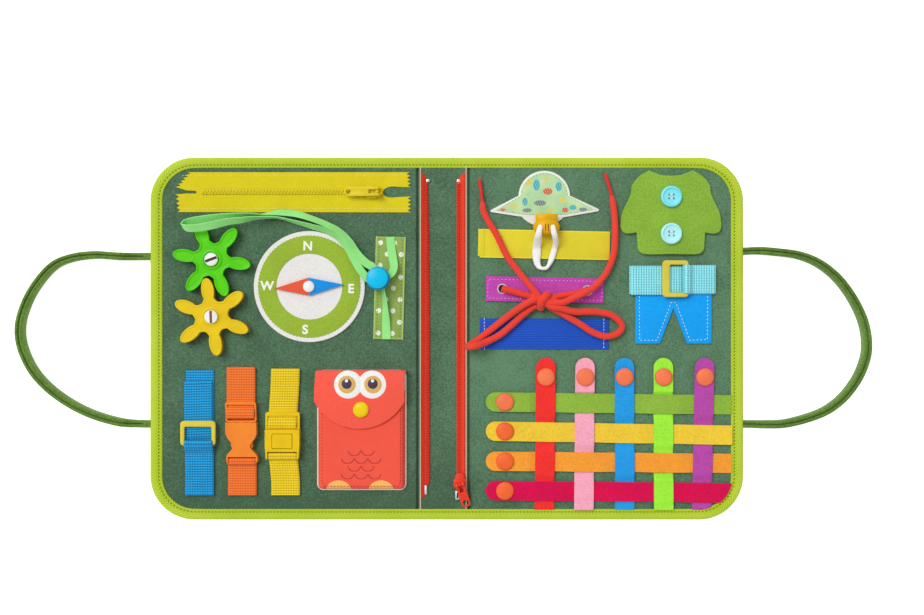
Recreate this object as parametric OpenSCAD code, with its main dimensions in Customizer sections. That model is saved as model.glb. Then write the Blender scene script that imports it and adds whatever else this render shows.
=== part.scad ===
// Busy book: a felt activity book that lies open flat, with a strap handle on each cover.
// Millimetres, +Z up. The origin is the middle of the spine, on the surface the book lies on.
// Each cover folds up about a line along the spine, at the top of the outer felt.

/* [Book] */
// Width of the open book without its handles
book_w = 416; // [412:1:460]
// Height of the book, along the spine
book_h = 254; // [250:1:290]
// Width of the spine, from fold to fold
spine_w = 37; // [36:0.5:46]
// Radius of the covers' outer corners
corner_r = 31; // [20:1:40]
// Thickness of each of the two felt layers
felt_t = 2; // [1.5:0.1:2.6]
// Visible width of the binding round the edge
binding_w = 8.5; // [6:0.5:9]
// Thickness of the binding tape
binding_t = 0.8; // [0.5:0.1:1.2]

/* [Handles] */
// How far a handle's middle line reaches past its cover
handle_reach = 88; // [70:1:110]
// Height of the two-layer strap, which lies on its edge
handle_h = 9.5; // [7:0.5:12]
// Thickness of the two-layer strap
handle_t = 4; // [3:0.2:5]

/* [Zips] */
// Length of the pocket zip's tape
pocket_len = 164; // [140:1:166]
// Width of the pocket zip's tape
pocket_w = 28; // [24:0.5:28]
// Bare felt between the spine zip's lower end and the binding
spine_zip_foot = 8.5; // [6:0.5:40]
// Thickness of zip tape
tape_t = 0.6; // [0.4:0.1:0.8]
// Radius of a zip's coil
coil_r = 1.8; // [1.4:0.1:2]
// Thickness of a zip's pull tab
pull_t = 1.2; // [1:0.1:1.6]

/* [Flower gears] */
// Distance between the two gears' pivots
gear_pitch = 39.8; // [39.8:0.1:41]
// Radius of a gear at its petal tips
gear_tip_r = 26.4; // [24:0.1:26.4]
// Radius of a gear between its petals
gear_root_r = 12; // [9:0.1:12]
// Width of a petal at its tip
petal_w = 8.6; // [7:0.1:8.6]
// Width of a petal where it leaves the hub
petal_base_w = 6.6; // [5:0.1:6.6]
// Thickness of a gear
gear_t = 7; // [5:0.1:8]

/* [Compass] */
// Radius of the compass card
dial_r = 39.4; // [36:0.1:40]
// Outer radius of the printed ring
ring_r = 34.5; // [30:0.1:35]
// Inner radius of the printed ring
ring_in_r = 23; // [18:0.1:26]
// Length of the needle
needle_len = 48.6; // [40:0.1:54]
// Width of the needle
needle_w = 12.4; // [8:0.1:14]

/* [Straps] */
// Width of the strap webbing
web_w = 20; // [18:0.1:20.4]
// Thickness of the strap webbing
web_t = 1.2; // [1:0.1:1.4]
// Bare felt between a strap's foot and the book's edge
strap_foot = 16.5; // [12:0.5:20]
// Thickness of a strap ring
ring_t = 2.6; // [2:0.1:3]
// Width of the side-release buckle
clip_w = 22.7; // [22.7:0.1:24]
// Width of the press buckle
press_w = 24; // [23:0.1:25]

/* [Ribbon and toggles] */
// Width of the ribbon
ribbon_w = 6; // [4:0.2:7]
// Thickness of the ribbon
ribbon_t = 0.7; // [0.5:0.1:1]
// Radius of the blue cord lock's barrel
lock_r = 8; // [7:0.1:9]
// Height of the blue cord lock's barrel
lock_h = 8.4; // [7:0.1:10]
// Stroke of a cord lock's button
lock_stroke = 2.5; // [1.5:0.1:2.6]
// Width of the yellow toggle's oval barrel
toggle_w = 18.5; // [16:0.1:20]
// Thickness of the yellow toggle's oval barrel
toggle_t = 11; // [10:0.1:12]

/* [Owl pouch] */
// Width of the pouch
pouch_w = 62.4; // [56:0.1:66]
// Height of the pouch
pouch_h = 84; // [78:0.1:88]
// Inner depth of the pouch when something is in it
pouch_gap = 4.3; // [4.2:0.1:6]
// Thickness of the pouch's sheet
pouch_t = 1.5; // [1:0.1:2]
// How far the flap comes down
flap_h = 41; // [34:0.5:46]

/* [Lacing] */
// Diameter of the shoelace
lace_d = 4.5; // [3:0.1:5]
// Outer diameter of an eyelet
eyelet_d = 7.7; // [7:0.1:9]
// Bore of an eyelet
eyelet_bore = 5; // [4.6:0.1:5.4]

/* [Clothes] */
// Thickness of the felt jacket
jacket_t = 3; // [2:0.1:4]
// Diameter of a jacket button
button_d = 15; // [12:0.5:18]
// Thickness of the shorts
shorts_t = 1.4; // [1:0.1:2]

/* [Weaving] */
// Width of a weaving strip
strip_w = 13.7; // [11:0.1:14]
// Thickness of a weaving strip
strip_t = 1.2; // [0.8:0.1:1.6]
// Distance between the strips that run across
row_pitch = 20.5; // [19:0.1:20.8]
// Distance between the strips that run down
col_pitch = 27.8; // [24:0.1:28]
// Diameter of a snap's cap
snap_d = 12.5; // [10:0.1:13]

/* [Hidden] */
$fn = 64;

// Clearances
run = 0.3;
seam = 0.15;
tuck = 0.1;
fold_room = 0.2;

// Levels and edges of the book
fold_x = spine_w / 2;
cover_x = book_w / 2;
top_y = book_h / 2;
fold_z = binding_t + felt_t;
page_z = binding_t + 2 * felt_t;
binding_z = page_z + binding_t;
felt_in = binding_t + tuck;
page_x = fold_x + felt_t + binding_t + fold_room;
binding_x = page_x + fold_room;
window_x = cover_x - binding_w;
window_y = top_y - binding_w;

// Places on the left page are counted from its outer edge or the fold, and from the top or bottom edge
function from_left(d) = d - cover_x;
function from_right(d) = cover_x - d;
function from_top(d) = top_y - d;
function from_bottom(d) = d - top_y;

// Pieces in the middle of a page keep their share of its height, as on a book this tall
plan_h = 254;
fit = book_h / plan_h;
function down(d) = top_y - d * fit;

// Felt and thread colours
felt_green = "#4C7558";
lime = "#ACC52C";
strap_green = "#638437";
zip_yellow = "#DCCA1F";
zip_red = "#E64028";
red_orange = "#F1593F";

// A flat outline raised to a height
module raised(z, h) {
    translate([0, 0, z]) linear_extrude(h) children();
}

// A profile drawn in X and Z, carried along Y from y0 to y1
module along_y(y0, y1) {
    translate([0, y1, 0]) rotate([90, 0, 0]) linear_extrude(y1 - y0) children();
}

// A profile drawn in Y and Z, carried along X from x0 to x1
module along_x(x0, x1) {
    translate([x0, 0, 0]) rotate([90, 0, 90]) linear_extrude(x1 - x0) children();
}

// A box from its low and high corners
module block(low, high) {
    translate(low) cube(high - low);
}

// A rectangle with round corners, about its centre
module round_rect(w, h, r) {
    square([w - 2 * r, h], center = true);
    square([w, h - 2 * r], center = true);
    for (x = [-1, 1], y = [-1, 1]) translate([x * (w / 2 - r), y * (h / 2 - r)]) circle(r);
}

// An oval with round ends, about its centre
module oval(w, h) {
    square([w - h, h], center = true);
    for (x = [-1, 1]) translate([x * (w - h) / 2, 0]) circle(d = h);
}

// A smooth curve through points, in steps per stretch
function spline_at(a, b, c, d, t) =
    0.5 * (2 * b + (c - a) * t + (2 * a - 5 * b + 4 * c - d) * t * t + (3 * b - a - 3 * c + d) * t * t * t);
function smooth(p, steps) = let (last = len(p) - 1) [
    for (i = [0:last - 1], k = [0:steps - 1])
        spline_at(p[max(i - 1, 0)], p[i], p[i + 1], p[min(i + 2, last)], k / steps),
    p[last]
];
function unit(v) = v / norm(v);
function heading(p, i) = unit(p[min(i + 1, len(p) - 1)] - p[max(i - 1, 0)]);
function level_side(t) = unit([t[1], -t[0], 0]);

// A closed skin over rings of points, with flat ends
module skin(rings) {
    n = len(rings[0]);
    m = len(rings);
    points = [for (r = rings) each r];
    sides = [
        for (i = [0:m - 2], k = [0:n - 1]) each [
            [i * n + k, (i + 1) * n + (k + 1) % n, (i + 1) * n + k],
            [i * n + k, i * n + (k + 1) % n, (i + 1) * n + (k + 1) % n]
        ]
    ];
    ends = [[for (k = [n - 1:-1:0]) k], [for (k = [0:n - 1]) (m - 1) * n + k]];
    polyhedron(points, concat(ends, sides));
}

// A round cord along points
cord_sides = 8;
module cord(route, d, steps) {
    p = smooth(route, steps);
    skin([
        for (i = [0:len(p) - 1])
            let (t = heading(p, i), s = level_side(t), u = cross(s, t))
                [for (k = [0:cord_sides - 1]) let (a = 360 * k / cord_sides)
                    p[i] + d / 2 * (cos(a) * s + sin(a) * u)]
    ]);
}

// A flat band that lies level along points
module band(route, w, t, steps) {
    p = smooth(route, steps);
    skin([
        for (i = [0:len(p) - 1])
            let (s = level_side(heading(p, i)) * w / 2, u = [0, 0, t / 2])
                [p[i] + s - u, p[i] + s + u, p[i] - s + u, p[i] - s - u]
    ]);
}

// The outline of one cover's sheet, right of x0 and drawn in from the edge
module half_sheet(x0, inset) {
    r = corner_r - inset;
    x1 = cover_x - inset;
    y1 = top_y - inset;
    translate([x0, -y1]) square([x1 - r - x0, 2 * y1]);
    translate([x0, r - y1]) square([x1 - x0, 2 * (y1 - r)]);
    for (side = [-1, 1]) translate([x1 - r, side * (y1 - r)]) circle(r);
}

module cover_felt() {
    color(felt_green) raised(binding_t, felt_t) half_sheet(fold_x + seam, felt_in);
}

module page_felt() {
    color(felt_green) raised(fold_z, felt_t) half_sheet(page_x, felt_in);
}

module cover_binding() {
    color(lime) difference() {
        raised(0, binding_z) half_sheet(binding_x, 0);
        raised(binding_t, 2 * felt_t) half_sheet(fold_x, binding_t);
        raised(-1, binding_z + 2) half_sheet(fold_x, binding_w);
    }
}

module left_cover() { mirror([1, 0, 0]) cover_felt(); }
module right_cover() { cover_felt(); }
module left_page() { mirror([1, 0, 0]) page_felt(); }
module right_page() { page_felt(); }
module left_binding() { mirror([1, 0, 0]) cover_binding(); }
module right_binding() { cover_binding(); }

module spine_panel() {
    x = fold_x - seam;
    color(felt_green) block([-x, felt_in - top_y, binding_t], [x, top_y - felt_in, page_z]);
}

module spine_binding() {
    x = fold_x - seam;
    color(lime) for (side = [0, 1]) mirror([0, side, 0]) difference() {
        block([-x, window_y, 0], [x, top_y, binding_z]);
        block([-x - 1, window_y - 1, binding_t], [x + 1, top_y - binding_t, page_z]);
    }
}

// Handles. Points are the distance past the cover's edge and the place along it.
left_route = [
    [0, 57.5], [18, 57.5], [35, 58.5], [51, 56.5], [64, 51], [75, 39], [83, 25], [87.5, 9],
    [86, -6], [79, -20], [69, -31.5], [57, -41], [44, -49], [30, -55], [15, -59], [0, -60]
];
right_route = [
    [0, 61], [11, 61.5], [24, 60.5], [38, 58.5], [50, 54], [60, 47], [68.5, 38], [76.5, 25.5], [82, 13],
    [84.5, 1], [84.5, -10], [81.5, -21], [76.5, -31], [68, -42], [57, -50.5], [43.5, -56], [29, -59.5],
    [16, -60], [0, -60]
];
knuckle_x = run + felt_t;
neck_len = 4;
taper_len = 16;

module handle(route) {
    stretch = handle_reach / max([for (p = route) p[0]]);
    line = smooth([for (p = route) [p[0] * stretch, p[1]]], 4);
    side = [for (i = [0:len(line) - 1]) let (t = heading(line, i)) [-t[1], t[0]] * handle_t / 2];
    last = len(line) - 1;
    color(strap_green) intersection() {
        linear_extrude(handle_h) polygon(concat(
            [for (i = [0:last]) line[i] + side[i]],
            [for (i = [last:-1:0]) line[i] - side[i]]
        ));
        along_y(-book_h, book_h) {
            translate([knuckle_x, fold_z]) circle(felt_t);
            polygon([
                [knuckle_x, binding_t], [taper_len, 0], [2 * handle_reach, 0], [2 * handle_reach, handle_h],
                [taper_len, handle_h], [knuckle_x + neck_len, page_z], [knuckle_x, page_z]
            ]);
        }
    }
}

module left_handle() { translate([-cover_x, 0, 0]) mirror([1, 0, 0]) handle(left_route); }
module right_handle() { translate([cover_x, 0, 0]) handle(right_route); }

// Zips: a coil is a round bead on the tape, and a slider straddles it
tape_z = page_z + tape_t;
coil_z = tape_z + coil_r;
slider_floor = tape_z + seam;
slider_roof = coil_z + run + 1;
pin_r = 0.8;
pull_eye_r = pin_r + run + 0.9;
pin_z = slider_roof + pull_eye_r + run;
lug_w = 2;

// The coil's cross-section over the tape, across u
module bead() {
    intersection() {
        translate([0, tape_z]) circle(coil_r);
        translate([-coil_r, tape_z - tuck]) square([2 * coil_r, coil_r + tuck]);
    }
}

// A slider about the coil's line along X, with its lug and cross pin at pin_x
module slider_body(len, w, pin_x) {
    nose_r = w / 2 - 1;
    difference() {
        raised(slider_floor, slider_roof - slider_floor) {
            translate([-len / 2, -w / 2 + 1]) square([len - nose_r, w - 2]);
            translate([-len / 2 + 1, -w / 2]) square([len - nose_r - 2, w]);
            translate([len / 2 - nose_r, 0]) circle(nose_r);
        }
        along_x(-len, len) translate([0, tape_z]) circle(coil_r + run);
    }
    translate([pin_x, 0, 0]) {
        block([-1.2, -lug_w / 2, slider_roof], [1.2, lug_w / 2, pin_z]);
        along_y(-lug_w / 2, lug_w / 2) translate([0, pin_z]) circle(1.2);
        along_y(-pull_w / 2, pull_w / 2) translate([0, pin_z]) circle(pin_r);
    }
}

// A pull tab that points along -X from its pin, with a slot for the lug and a finger hole
pull_w = 6.4;
module pull_tab(len, hole_d) {
    difference() {
        union() {
            raised(-pull_t / 2, pull_t) {
                translate([pull_w / 2 - len, -pull_w / 2]) square([len - pull_w / 2, pull_w]);
                translate([pull_w / 2 - len, 0]) circle(hole_d / 2 + 1.2);
            }
            along_y(-pull_w / 2, pull_w / 2) circle(pull_eye_r);
        }
        along_y(-pull_w, pull_w) circle(pin_r + run);
        block([-6, -lug_w / 2 - run, -3], [3, lug_w / 2 + run, 3]);
        translate([pull_w / 2 - len, 0, -3]) cylinder(h = 6, d = hole_d);
    }
}

// The pocket zip, across the top of the left page
pocket_in = 3.8;
pocket_down = 24.6;
pocket_x0 = -fold_x - pocket_in - pocket_len;
pocket_y = from_top(pocket_down);
pocket_slider_x = pocket_x0 + 138;
pocket_slide_len = 12;
pocket_gap_w = 7;
pocket_x1 = pocket_x0 + pocket_len;
pocket_seam_w = 5;
pocket_lead = 18;
pocket_pin_x = 2.5;
pocket_slope = 5;
pocket_pull_len = 23.5;

module pocket_zip() {
    mouth_x = pocket_slider_x + pocket_slide_len / 2;
    color(zip_yellow) {
        difference() {
            block(
                [pocket_x0, pocket_y - pocket_w / 2, page_z],
                [pocket_x1, pocket_y + pocket_w / 2, tape_z]
            );
            block(
                [mouth_x, pocket_y - pocket_gap_w / 2, page_z - 1],
                [pocket_x1 - pocket_seam_w, pocket_y + pocket_gap_w / 2, tape_z + 1]
            );
        }
        along_x(pocket_x0 + pocket_lead, mouth_x) translate([pocket_y, 0]) bead();
    }
}

module pocket_slider() {
    color("#D8C31C") translate([pocket_slider_x, pocket_y, 0])
        slider_body(pocket_slide_len, 9, pocket_pin_x);
}

module pocket_pull() {
    color("#D8C31C") translate([pocket_slider_x + pocket_pin_x, pocket_y, pin_z])
        rotate([0, -pocket_slope, 0]) pull_tab(pocket_pull_len, 3.4);
}

// The spine zip: two open halves, each with a bead and a light piped edge
spine_tape_in = 9.3;
spine_tape_out = 15.2;
spine_coil_x = 11.6;
spine_zip_y1 = window_y - 3.5;
spine_zip_y0 = spine_zip_foot - window_y;
piping_w = 1;
spine_slide_len = 11;
spine_slider_y = spine_zip_y0 + 11;
spine_pin_x = -2.5;
spine_slope = 8;
spine_pull_len = 17.5;
stop_t = 1.8;

module spine_zip() {
    color(zip_red) for (side = [0, 1]) mirror([side, 0, 0]) {
        block([spine_tape_in, spine_zip_y0, page_z], [spine_tape_out, spine_zip_y1, tape_z]);
        along_y(spine_zip_y0 + 4, spine_zip_y1) translate([spine_coil_x, 0]) bead();
    }
    color("#D9D9D2") for (side = [0, 1]) mirror([side, 0, 0])
        block(
            [spine_tape_out + seam, -window_y + seam, page_z],
            [spine_tape_out + seam + piping_w, window_y - seam, tape_z]
        );
    color("#C8C8CC") raised(tape_z, stop_t) {
        translate([-spine_coil_x, spine_zip_y0 + 1]) oval(stop_t * 1.1, stop_t);
        translate([spine_coil_x, spine_zip_y0 + 1.6]) round_rect(3.6, 3.6, 0.6);
    }
}

module spine_slider() {
    color(zip_red) translate([spine_coil_x, spine_slider_y, 0]) rotate([0, 0, 90])
        slider_body(spine_slide_len, 8.6, spine_pin_x);
}

module spine_pull() {
    color(zip_red) translate([spine_coil_x, spine_slider_y + spine_pin_x, pin_z]) rotate([0, 0, 90])
        rotate([0, -spine_slope, 0]) pull_tab(spine_pull_len, 4.2);
}

// Flower gears. With ratio minus one, the second gear's petals lie in the first one's gaps.
gear_x = from_left(47.3);
green_down = 72;
green_y = down(green_down);
yellow_y = green_y - gear_pitch;
petals = 6;
gear_turn = -8.5;
gear_z = page_z + 0.6;
gear_top = gear_z + gear_t;
gear_edge = 1;
gear_step = 1.2;
hub_r = 7.4;
gear_shaft_r = 2.5;
gear_head_r = 4.7;
rivet_head_t = 1.5;
slot_w = 1.4;
slot_t = 0.6;

// A petal outline along X, drawn in by an inset
module petal(inset) {
    tip_c = gear_tip_r - petal_w / 2;
    base = petal_base_w / 2 - inset;
    tip = petal_w / 2 - inset;
    translate([tip_c, 0]) circle(tip);
    polygon([[0, -base], [tip_c, -tip], [tip_c, tip], [0, base]]);
}

module flower(inset) {
    circle(gear_root_r - inset);
    for (k = [0:petals - 1]) rotate(k * 360 / petals) petal(inset);
}

module flower_gear() {
    difference() {
        union() {
            raised(0, gear_t - gear_step) flower(0);
            raised(0, gear_t - 0.4) flower(gear_edge);
            cylinder(h = gear_t, r = hub_r);
        }
        translate([0, 0, -1]) cylinder(h = gear_t + 2, r = gear_shaft_r + run);
    }
}

module green_gear() {
    color("#5DD204") translate([gear_x, green_y, gear_z]) rotate(gear_turn) flower_gear();
}

module yellow_gear() {
    color("#E6C41C") translate([gear_x, yellow_y, gear_z]) rotate(180 / petals - gear_turn)
        flower_gear();
}

// The compass card and its needle
dial_in = 114.4;
dial_down = 90.7;
dial_x = from_left(dial_in);
dial_y = down(dial_down);
card_t = 1.4;
print_t = 0.6;
needle_t = 1.5;
needle_turn = 3.3;
dial_top = page_z + card_t + print_t;
needle_z = dial_top + run;
dial_shaft_r = 1.6;
dial_head_r = 4;

module compass_dial() {
    color("#EBE8E8") translate([dial_x, dial_y, 0]) difference() {
        union() {
            translate([0, 0, page_z]) cylinder(h = card_t, r = dial_r);
            raised(page_z, card_t + print_t) difference() {
                circle(ring_r);
                circle(ring_in_r);
            }
        }
        translate([0, 0, page_z - 1]) cylinder(h = 9, r = dial_shaft_r + tuck);
    }
}

module compass_needle() {
    color("#E9503E") raised(needle_z, needle_t) translate([dial_x, dial_y]) rotate(needle_turn) difference() {
        polygon([[-needle_len / 2, 0], [0, -needle_w / 2], [needle_len / 2, 0], [0, needle_w / 2]]);
        circle(dial_shaft_r + run);
    }
}

// A rivet from the page to a slotted head
module rivet(shaft_r, head_r, head_z) {
    translate([0, 0, page_z]) cylinder(h = head_z - page_z, r = shaft_r);
    difference() {
        translate([0, 0, head_z]) cylinder(h = rivet_head_t, r1 = head_r, r2 = head_r - 0.6);
        block(
            [-head_r * 0.6, -slot_w / 2, head_z + rivet_head_t - slot_t],
            [head_r * 0.6, slot_w / 2, head_z + rivet_head_t + 1]
        );
    }
}

module pivot_rivets() {
    color("#F1F2EE") {
        for (y = [green_y, yellow_y]) translate([gear_x, y, 0])
            rivet(gear_shaft_r, gear_head_r, gear_top + run);
        translate([dial_x, dial_y, 0]) rivet(dial_shaft_r, dial_head_r, needle_z + needle_t + run);
    }
}

// The spotted tag, the ribbon sewn to it and the cord lock on the ribbon
tag_w = 21;
tag_h = 72;
tag_t = 1.2;
tag_x = -fold_x - 19.1;
tag_down = 91.7;
tag_y = down(tag_down);
tag_turn = -1.5;
lock_x = tag_x - 7.4;
lock_y = tag_y + 6.6;
lock_z = dial_top + run;
lock_wall = 2.2;
lock_floor = 1.6;
lock_cap_r = lock_r - 1.6;
lock_cap_t = 2.4;
lock_slot_h = 3.4;
lock_heading = 139.5;

module ribbon_tag() {
    color("#97B25F") raised(page_z, tag_t) translate([tag_x, tag_y]) rotate(tag_turn)
        square([tag_w, tag_h], center = true);
}

// Ribbon points, from the lock out along the upper strand, round the end and back along the lower one
loop_route = [
    [-53.5, 47, 13.2], [-58, 58, 13], [-66, 67, 12], [-80, 78, 9.6], [-97, 85, 9.2],
    [-113, 88.8, 9.6], [-134, 88.2, 13.4], [-158, 86.4, 14.6], [-178, 84, 14.4],
    [-185, 80, 14.2], [-178, 76.5, 14.2],
    [-158, 79, 14.4], [-138, 82, 12.6], [-120, 84.8, 8.2], [-103, 82, 7.9], [-85, 76.5, 8], [-73, 69, 9],
    [-63.5, 56.5, 10.8], [-53.4, 45.6, 11.2]
];
tag_top_route = [
    [-34.6, 44, 11.2], [-33.3, 47, 10.4], [-33.2, 54, 7.4], [-36, 64, 6.6], [-36.5, 70.6, 6.5]
];
tag_foot_route = [
    [-41.5, 33.6, 11.2], [-40, 29, 9.4], [-38.6, 18, 7], [-39.4, 8, 6.5], [-39.4, 0.6, 6.5]
];
ribbon_from = [-45, 41.9, 0];
ribbon_shift = [lock_x, lock_y, 0] - ribbon_from;

module ribbon_loop() {
    color("#8AE57B") translate(ribbon_shift) {
        band(loop_route, ribbon_w, ribbon_t, 3);
        band(tag_top_route, ribbon_w, ribbon_t, 3);
        band(tag_foot_route, ribbon_w, ribbon_t, 3);
    }
}

// A cord lock about Z: a cup with a slot for the ribbon, and a button that goes down into it
module cord_lock() {
    color("#16A8E6") translate([lock_x, lock_y, lock_z]) difference() {
        cylinder(h = lock_h, r = lock_r);
        translate([0, 0, lock_floor]) cylinder(h = lock_h, r = lock_r - lock_wall);
        translate([0, 0, lock_floor]) rotate(lock_heading)
            block([-2 * lock_r, -ribbon_w / 2 - 1, 0], [2 * lock_r, ribbon_w / 2 + 1, lock_slot_h + 2]);
    }
}

module cord_lock_button() {
    stem_r = lock_r - lock_wall - run;
    stem_z = lock_floor + lock_stroke + run;
    color("#16BDEE") translate([lock_x, lock_y, lock_z]) {
        difference() {
            translate([0, 0, stem_z]) cylinder(h = lock_h - stem_z + lock_stroke + run, r = stem_r);
            translate([0, 0, stem_z - 1]) rotate(lock_heading)
                block([-lock_r, -ribbon_w / 2 - 1, 0], [lock_r, ribbon_w / 2 + 1, lock_slot_h + 1]);
        }
        translate([0, 0, lock_h + lock_stroke + run]) cylinder(h = lock_cap_t, r = lock_cap_r);
    }
}

// Straps. Each is sewn to the page at its ends, and its hems go round bars.
strap_gap = 10.3;
strap_y1 = yellow_y - gear_tip_r - strap_gap;
strap_y0 = from_bottom(strap_foot);
blue_x = from_left(37.3);
orange_x = from_left(66.7);
yellow_x = from_left(97.7);
hem_bore = ring_t / 2 + run;
hem_r = hem_bore + web_t;
bar_r = ring_t / 2;

// A hem: webbing wrapped round a bar along X at y, z
module hem(y, z) {
    along_x(-web_w / 2, web_w / 2) translate([y, z]) difference() {
        circle(hem_r);
        circle(hem_bore);
    }
}

// Webbing lying flat from y0 to y1 and z0 to z1, clear of a hem's bore
module flat_web(y0, y1, z0, z1) {
    block([-web_w / 2, y0, z0], [web_w / 2, y1, z1]);
}

// A flat rectangular ring with one round bar along X at the origin and the rest towards +Y
ring_top_w = 4.2;
ring_side_w = 2.5;
ring_w = web_w + 2 * run + 2 * ring_side_w;
module strap_ring(reach, far_w) {
    w = ring_w;
    raised(-ring_t / 2, ring_t) difference() {
        translate([0, reach / 2]) round_rect(w, reach, 2.4);
        translate([ring_side_w - w / 2, -bar_r]) square([w - 2 * ring_side_w, reach - far_w + bar_r]);
    }
    along_x(-w / 2 + 1, w / 2 - 1) circle(bar_r);
}

blue_ring_reach = 16;
blue_bar_y = strap_y1 - 51.7;
blue_bar_z = page_z + web_t + hem_r;

module blue_strap() {
    color("#2897CF") translate([blue_x, 0, 0]) difference() {
        union() {
            flat_web(strap_y0, strap_y1, page_z, page_z + web_t);
            flat_web(blue_bar_y + hem_r + run, strap_y1 - 8, page_z, page_z + 2 * web_t);
            flat_web(strap_y0, blue_bar_y, page_z, page_z + 2 * web_t);
            hem(blue_bar_y, blue_bar_z);
        }
        along_x(-web_w, web_w) translate([blue_bar_y, blue_bar_z]) circle(hem_bore);
    }
}

module blue_strap_ring() {
    color("#DFCD46") translate([blue_x, blue_bar_y, blue_bar_z]) strap_ring(blue_ring_reach, ring_top_w);
}

// Both buckles: a frame on the upper strap, and a socket on the strap's tail
frame_z = page_z + web_t + run;
frame_t = 3;
frame_bar = 2.6;
frame_y_len = 14;
frame_bar_z = page_z + hem_r;
clip_y = strap_y1 - 22.6;
press_y = strap_y1 - 29.6;
clip_socket_len = 28.5;
press_socket_len = 20.4;

// The upper strap: double to just above the frame at y, single under it, and a hem round its bar
module upper_strap(y) {
    bar_y = y - frame_y_len / 2;
    difference() {
        union() {
            flat_web(y + run, strap_y1, page_z, page_z + 2 * web_t);
            flat_web(bar_y, strap_y1, page_z, page_z + web_t);
            hem(bar_y, frame_bar_z);
        }
        along_x(-web_w, web_w) translate([bar_y, frame_bar_z]) circle(hem_bore);
    }
}

// The tail: a hem round the socket's bar, then double webbing to the strap's foot
module strap_tail(bar_y) {
    difference() {
        union() {
            hem(bar_y, frame_bar_z);
            flat_web(strap_y0, bar_y, page_z, page_z + 2 * web_t);
        }
        along_x(-web_w, web_w) translate([bar_y, frame_bar_z]) circle(hem_bore);
    }
}

// The frame that the upper strap goes through, with its round bar
module buckle_frame(w, y) {
    inner_w = web_w + 2 * run;
    difference() {
        raised(frame_z, frame_t) translate([0, y - frame_y_len / 2]) round_rect(w, frame_y_len, 1.6);
        block([-inner_w / 2, y - frame_y_len + frame_bar, 0], [inner_w / 2, y - frame_bar, 30]);
    }
    along_x(-inner_w / 2 - seam, inner_w / 2 + seam)
        translate([y - frame_y_len / 2, frame_bar_z]) circle(bar_r);
}

clip_bar_y = clip_y - frame_y_len - clip_socket_len + bar_r;
press_bar_y = press_y - frame_y_len + 2 - press_socket_len + 1.8;

module orange_strap() { color("#EB702B") translate([orange_x, 0, 0]) upper_strap(clip_y); }
module yellow_strap() { color("#E1C628") translate([yellow_x, 0, 0]) upper_strap(press_y); }
module strap_tails() {
    color("#EB702B") translate([orange_x, 0, 0]) strap_tail(clip_bar_y);
    color("#E1C628") translate([yellow_x, 0, 0]) strap_tail(press_bar_y);
}

// The side-release buckle: prongs go into a flat channel that the waist lays open at both sides
channel_floor = 1.8;
channel_h = 3;
socket_t = 6.4;
clip_channel_w = 17.6;
clip_waist_w = 12.2;
clip_socket_y = clip_y - frame_y_len - seam;

module clip_outline() {
    h = clip_w / 2;
    waist = clip_waist_w / 2;
    for (side = [0, 1]) mirror([side, 0]) polygon([
        [0, 0], [h, 0], [h, -8], [h - 1.4, -11], [waist + 0.6, -15], [waist, -16.6],
        [waist + 0.6, -18], [h - 0.4, -22.6], [h, -24.4], [h, -26.8],
        [h - 1.2, -clip_socket_len], [0, -clip_socket_len]
    ]);
}

// The part of a socket that holds the tail's bar is open between two side arms
module tail_bay(bar_y, floor_y) {
    inner_w = web_w + 2 * run;
    difference() {
        children();
        block([-inner_w / 2, floor_y, 0], [inner_w / 2, bar_y + hem_r + run, 30]);
    }
    along_x(-inner_w / 2 - seam, inner_w / 2 + seam) translate([bar_y, frame_bar_z]) circle(bar_r);
}

module side_buckle_socket() {
    color("#F38A37") translate([orange_x, 0, 0]) tail_bay(clip_bar_y, strap_y0) difference() {
        raised(page_z + tuck, socket_t) translate([0, clip_socket_y]) clip_outline();
        block(
            [-clip_channel_w / 2, clip_socket_y - 21, page_z + channel_floor],
            [clip_channel_w / 2, clip_socket_y + 1, page_z + channel_floor + channel_h]
        );
    }
}

module side_buckle_plug() {
    prong_out = clip_channel_w / 2 - run;
    rail_w = 3.2;
    rail_len = 20;
    color("#F38A37") translate([orange_x, 0, 0]) {
        buckle_frame(clip_w - 0.2, clip_y);
        raised(page_z + channel_floor + run, channel_h - 2 * run) translate([0, clip_y - frame_y_len + 1]) {
            translate([-rail_w / 2, -rail_len]) square([rail_w, rail_len]);
            for (side = [0, 1]) mirror([side, 0]) polygon([
                [5.4, 0], [7.4, 0], [7.4, -12], [prong_out, -14], [prong_out, -18],
                [prong_out - 2.4, -21], [6, -21], [5.4, -18]
            ]);
        }
    }
}

// The press buckle: a forked tongue slides under a button in the socket's top
press_channel_w = 15;
press_socket_y = press_y - frame_y_len + 2 - seam;
press_button_w = 13.8;
press_button_h = 10;
press_stroke = 1.2;
press_button_y = press_socket_y - 8;
tongue_t = 1.4;
button_z = page_z + channel_floor + run + tongue_t + press_stroke + run;

module press_buckle_socket() {
    h = press_w / 2;
    color("#E6C00C") translate([yellow_x, 0, 0]) tail_bay(press_bar_y, strap_y0) difference() {
        raised(page_z + tuck, socket_t + 0.2) translate([0, press_socket_y]) polygon([
            [-h, 0], [h, 0], [h, -11], [h - 0.7, -press_socket_len],
            [0.7 - h, -press_socket_len], [-h, -11]
        ]);
        block(
            [-press_channel_w / 2, press_socket_y - 14, page_z + channel_floor],
            [press_channel_w / 2, press_socket_y + 1, page_z + channel_floor + tongue_t + 2 * run]
        );
        raised(page_z + channel_floor, 20) translate([0, press_button_y])
            round_rect(press_button_w + 2 * run, press_button_h + 2 * run, 1);
    }
}

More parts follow.
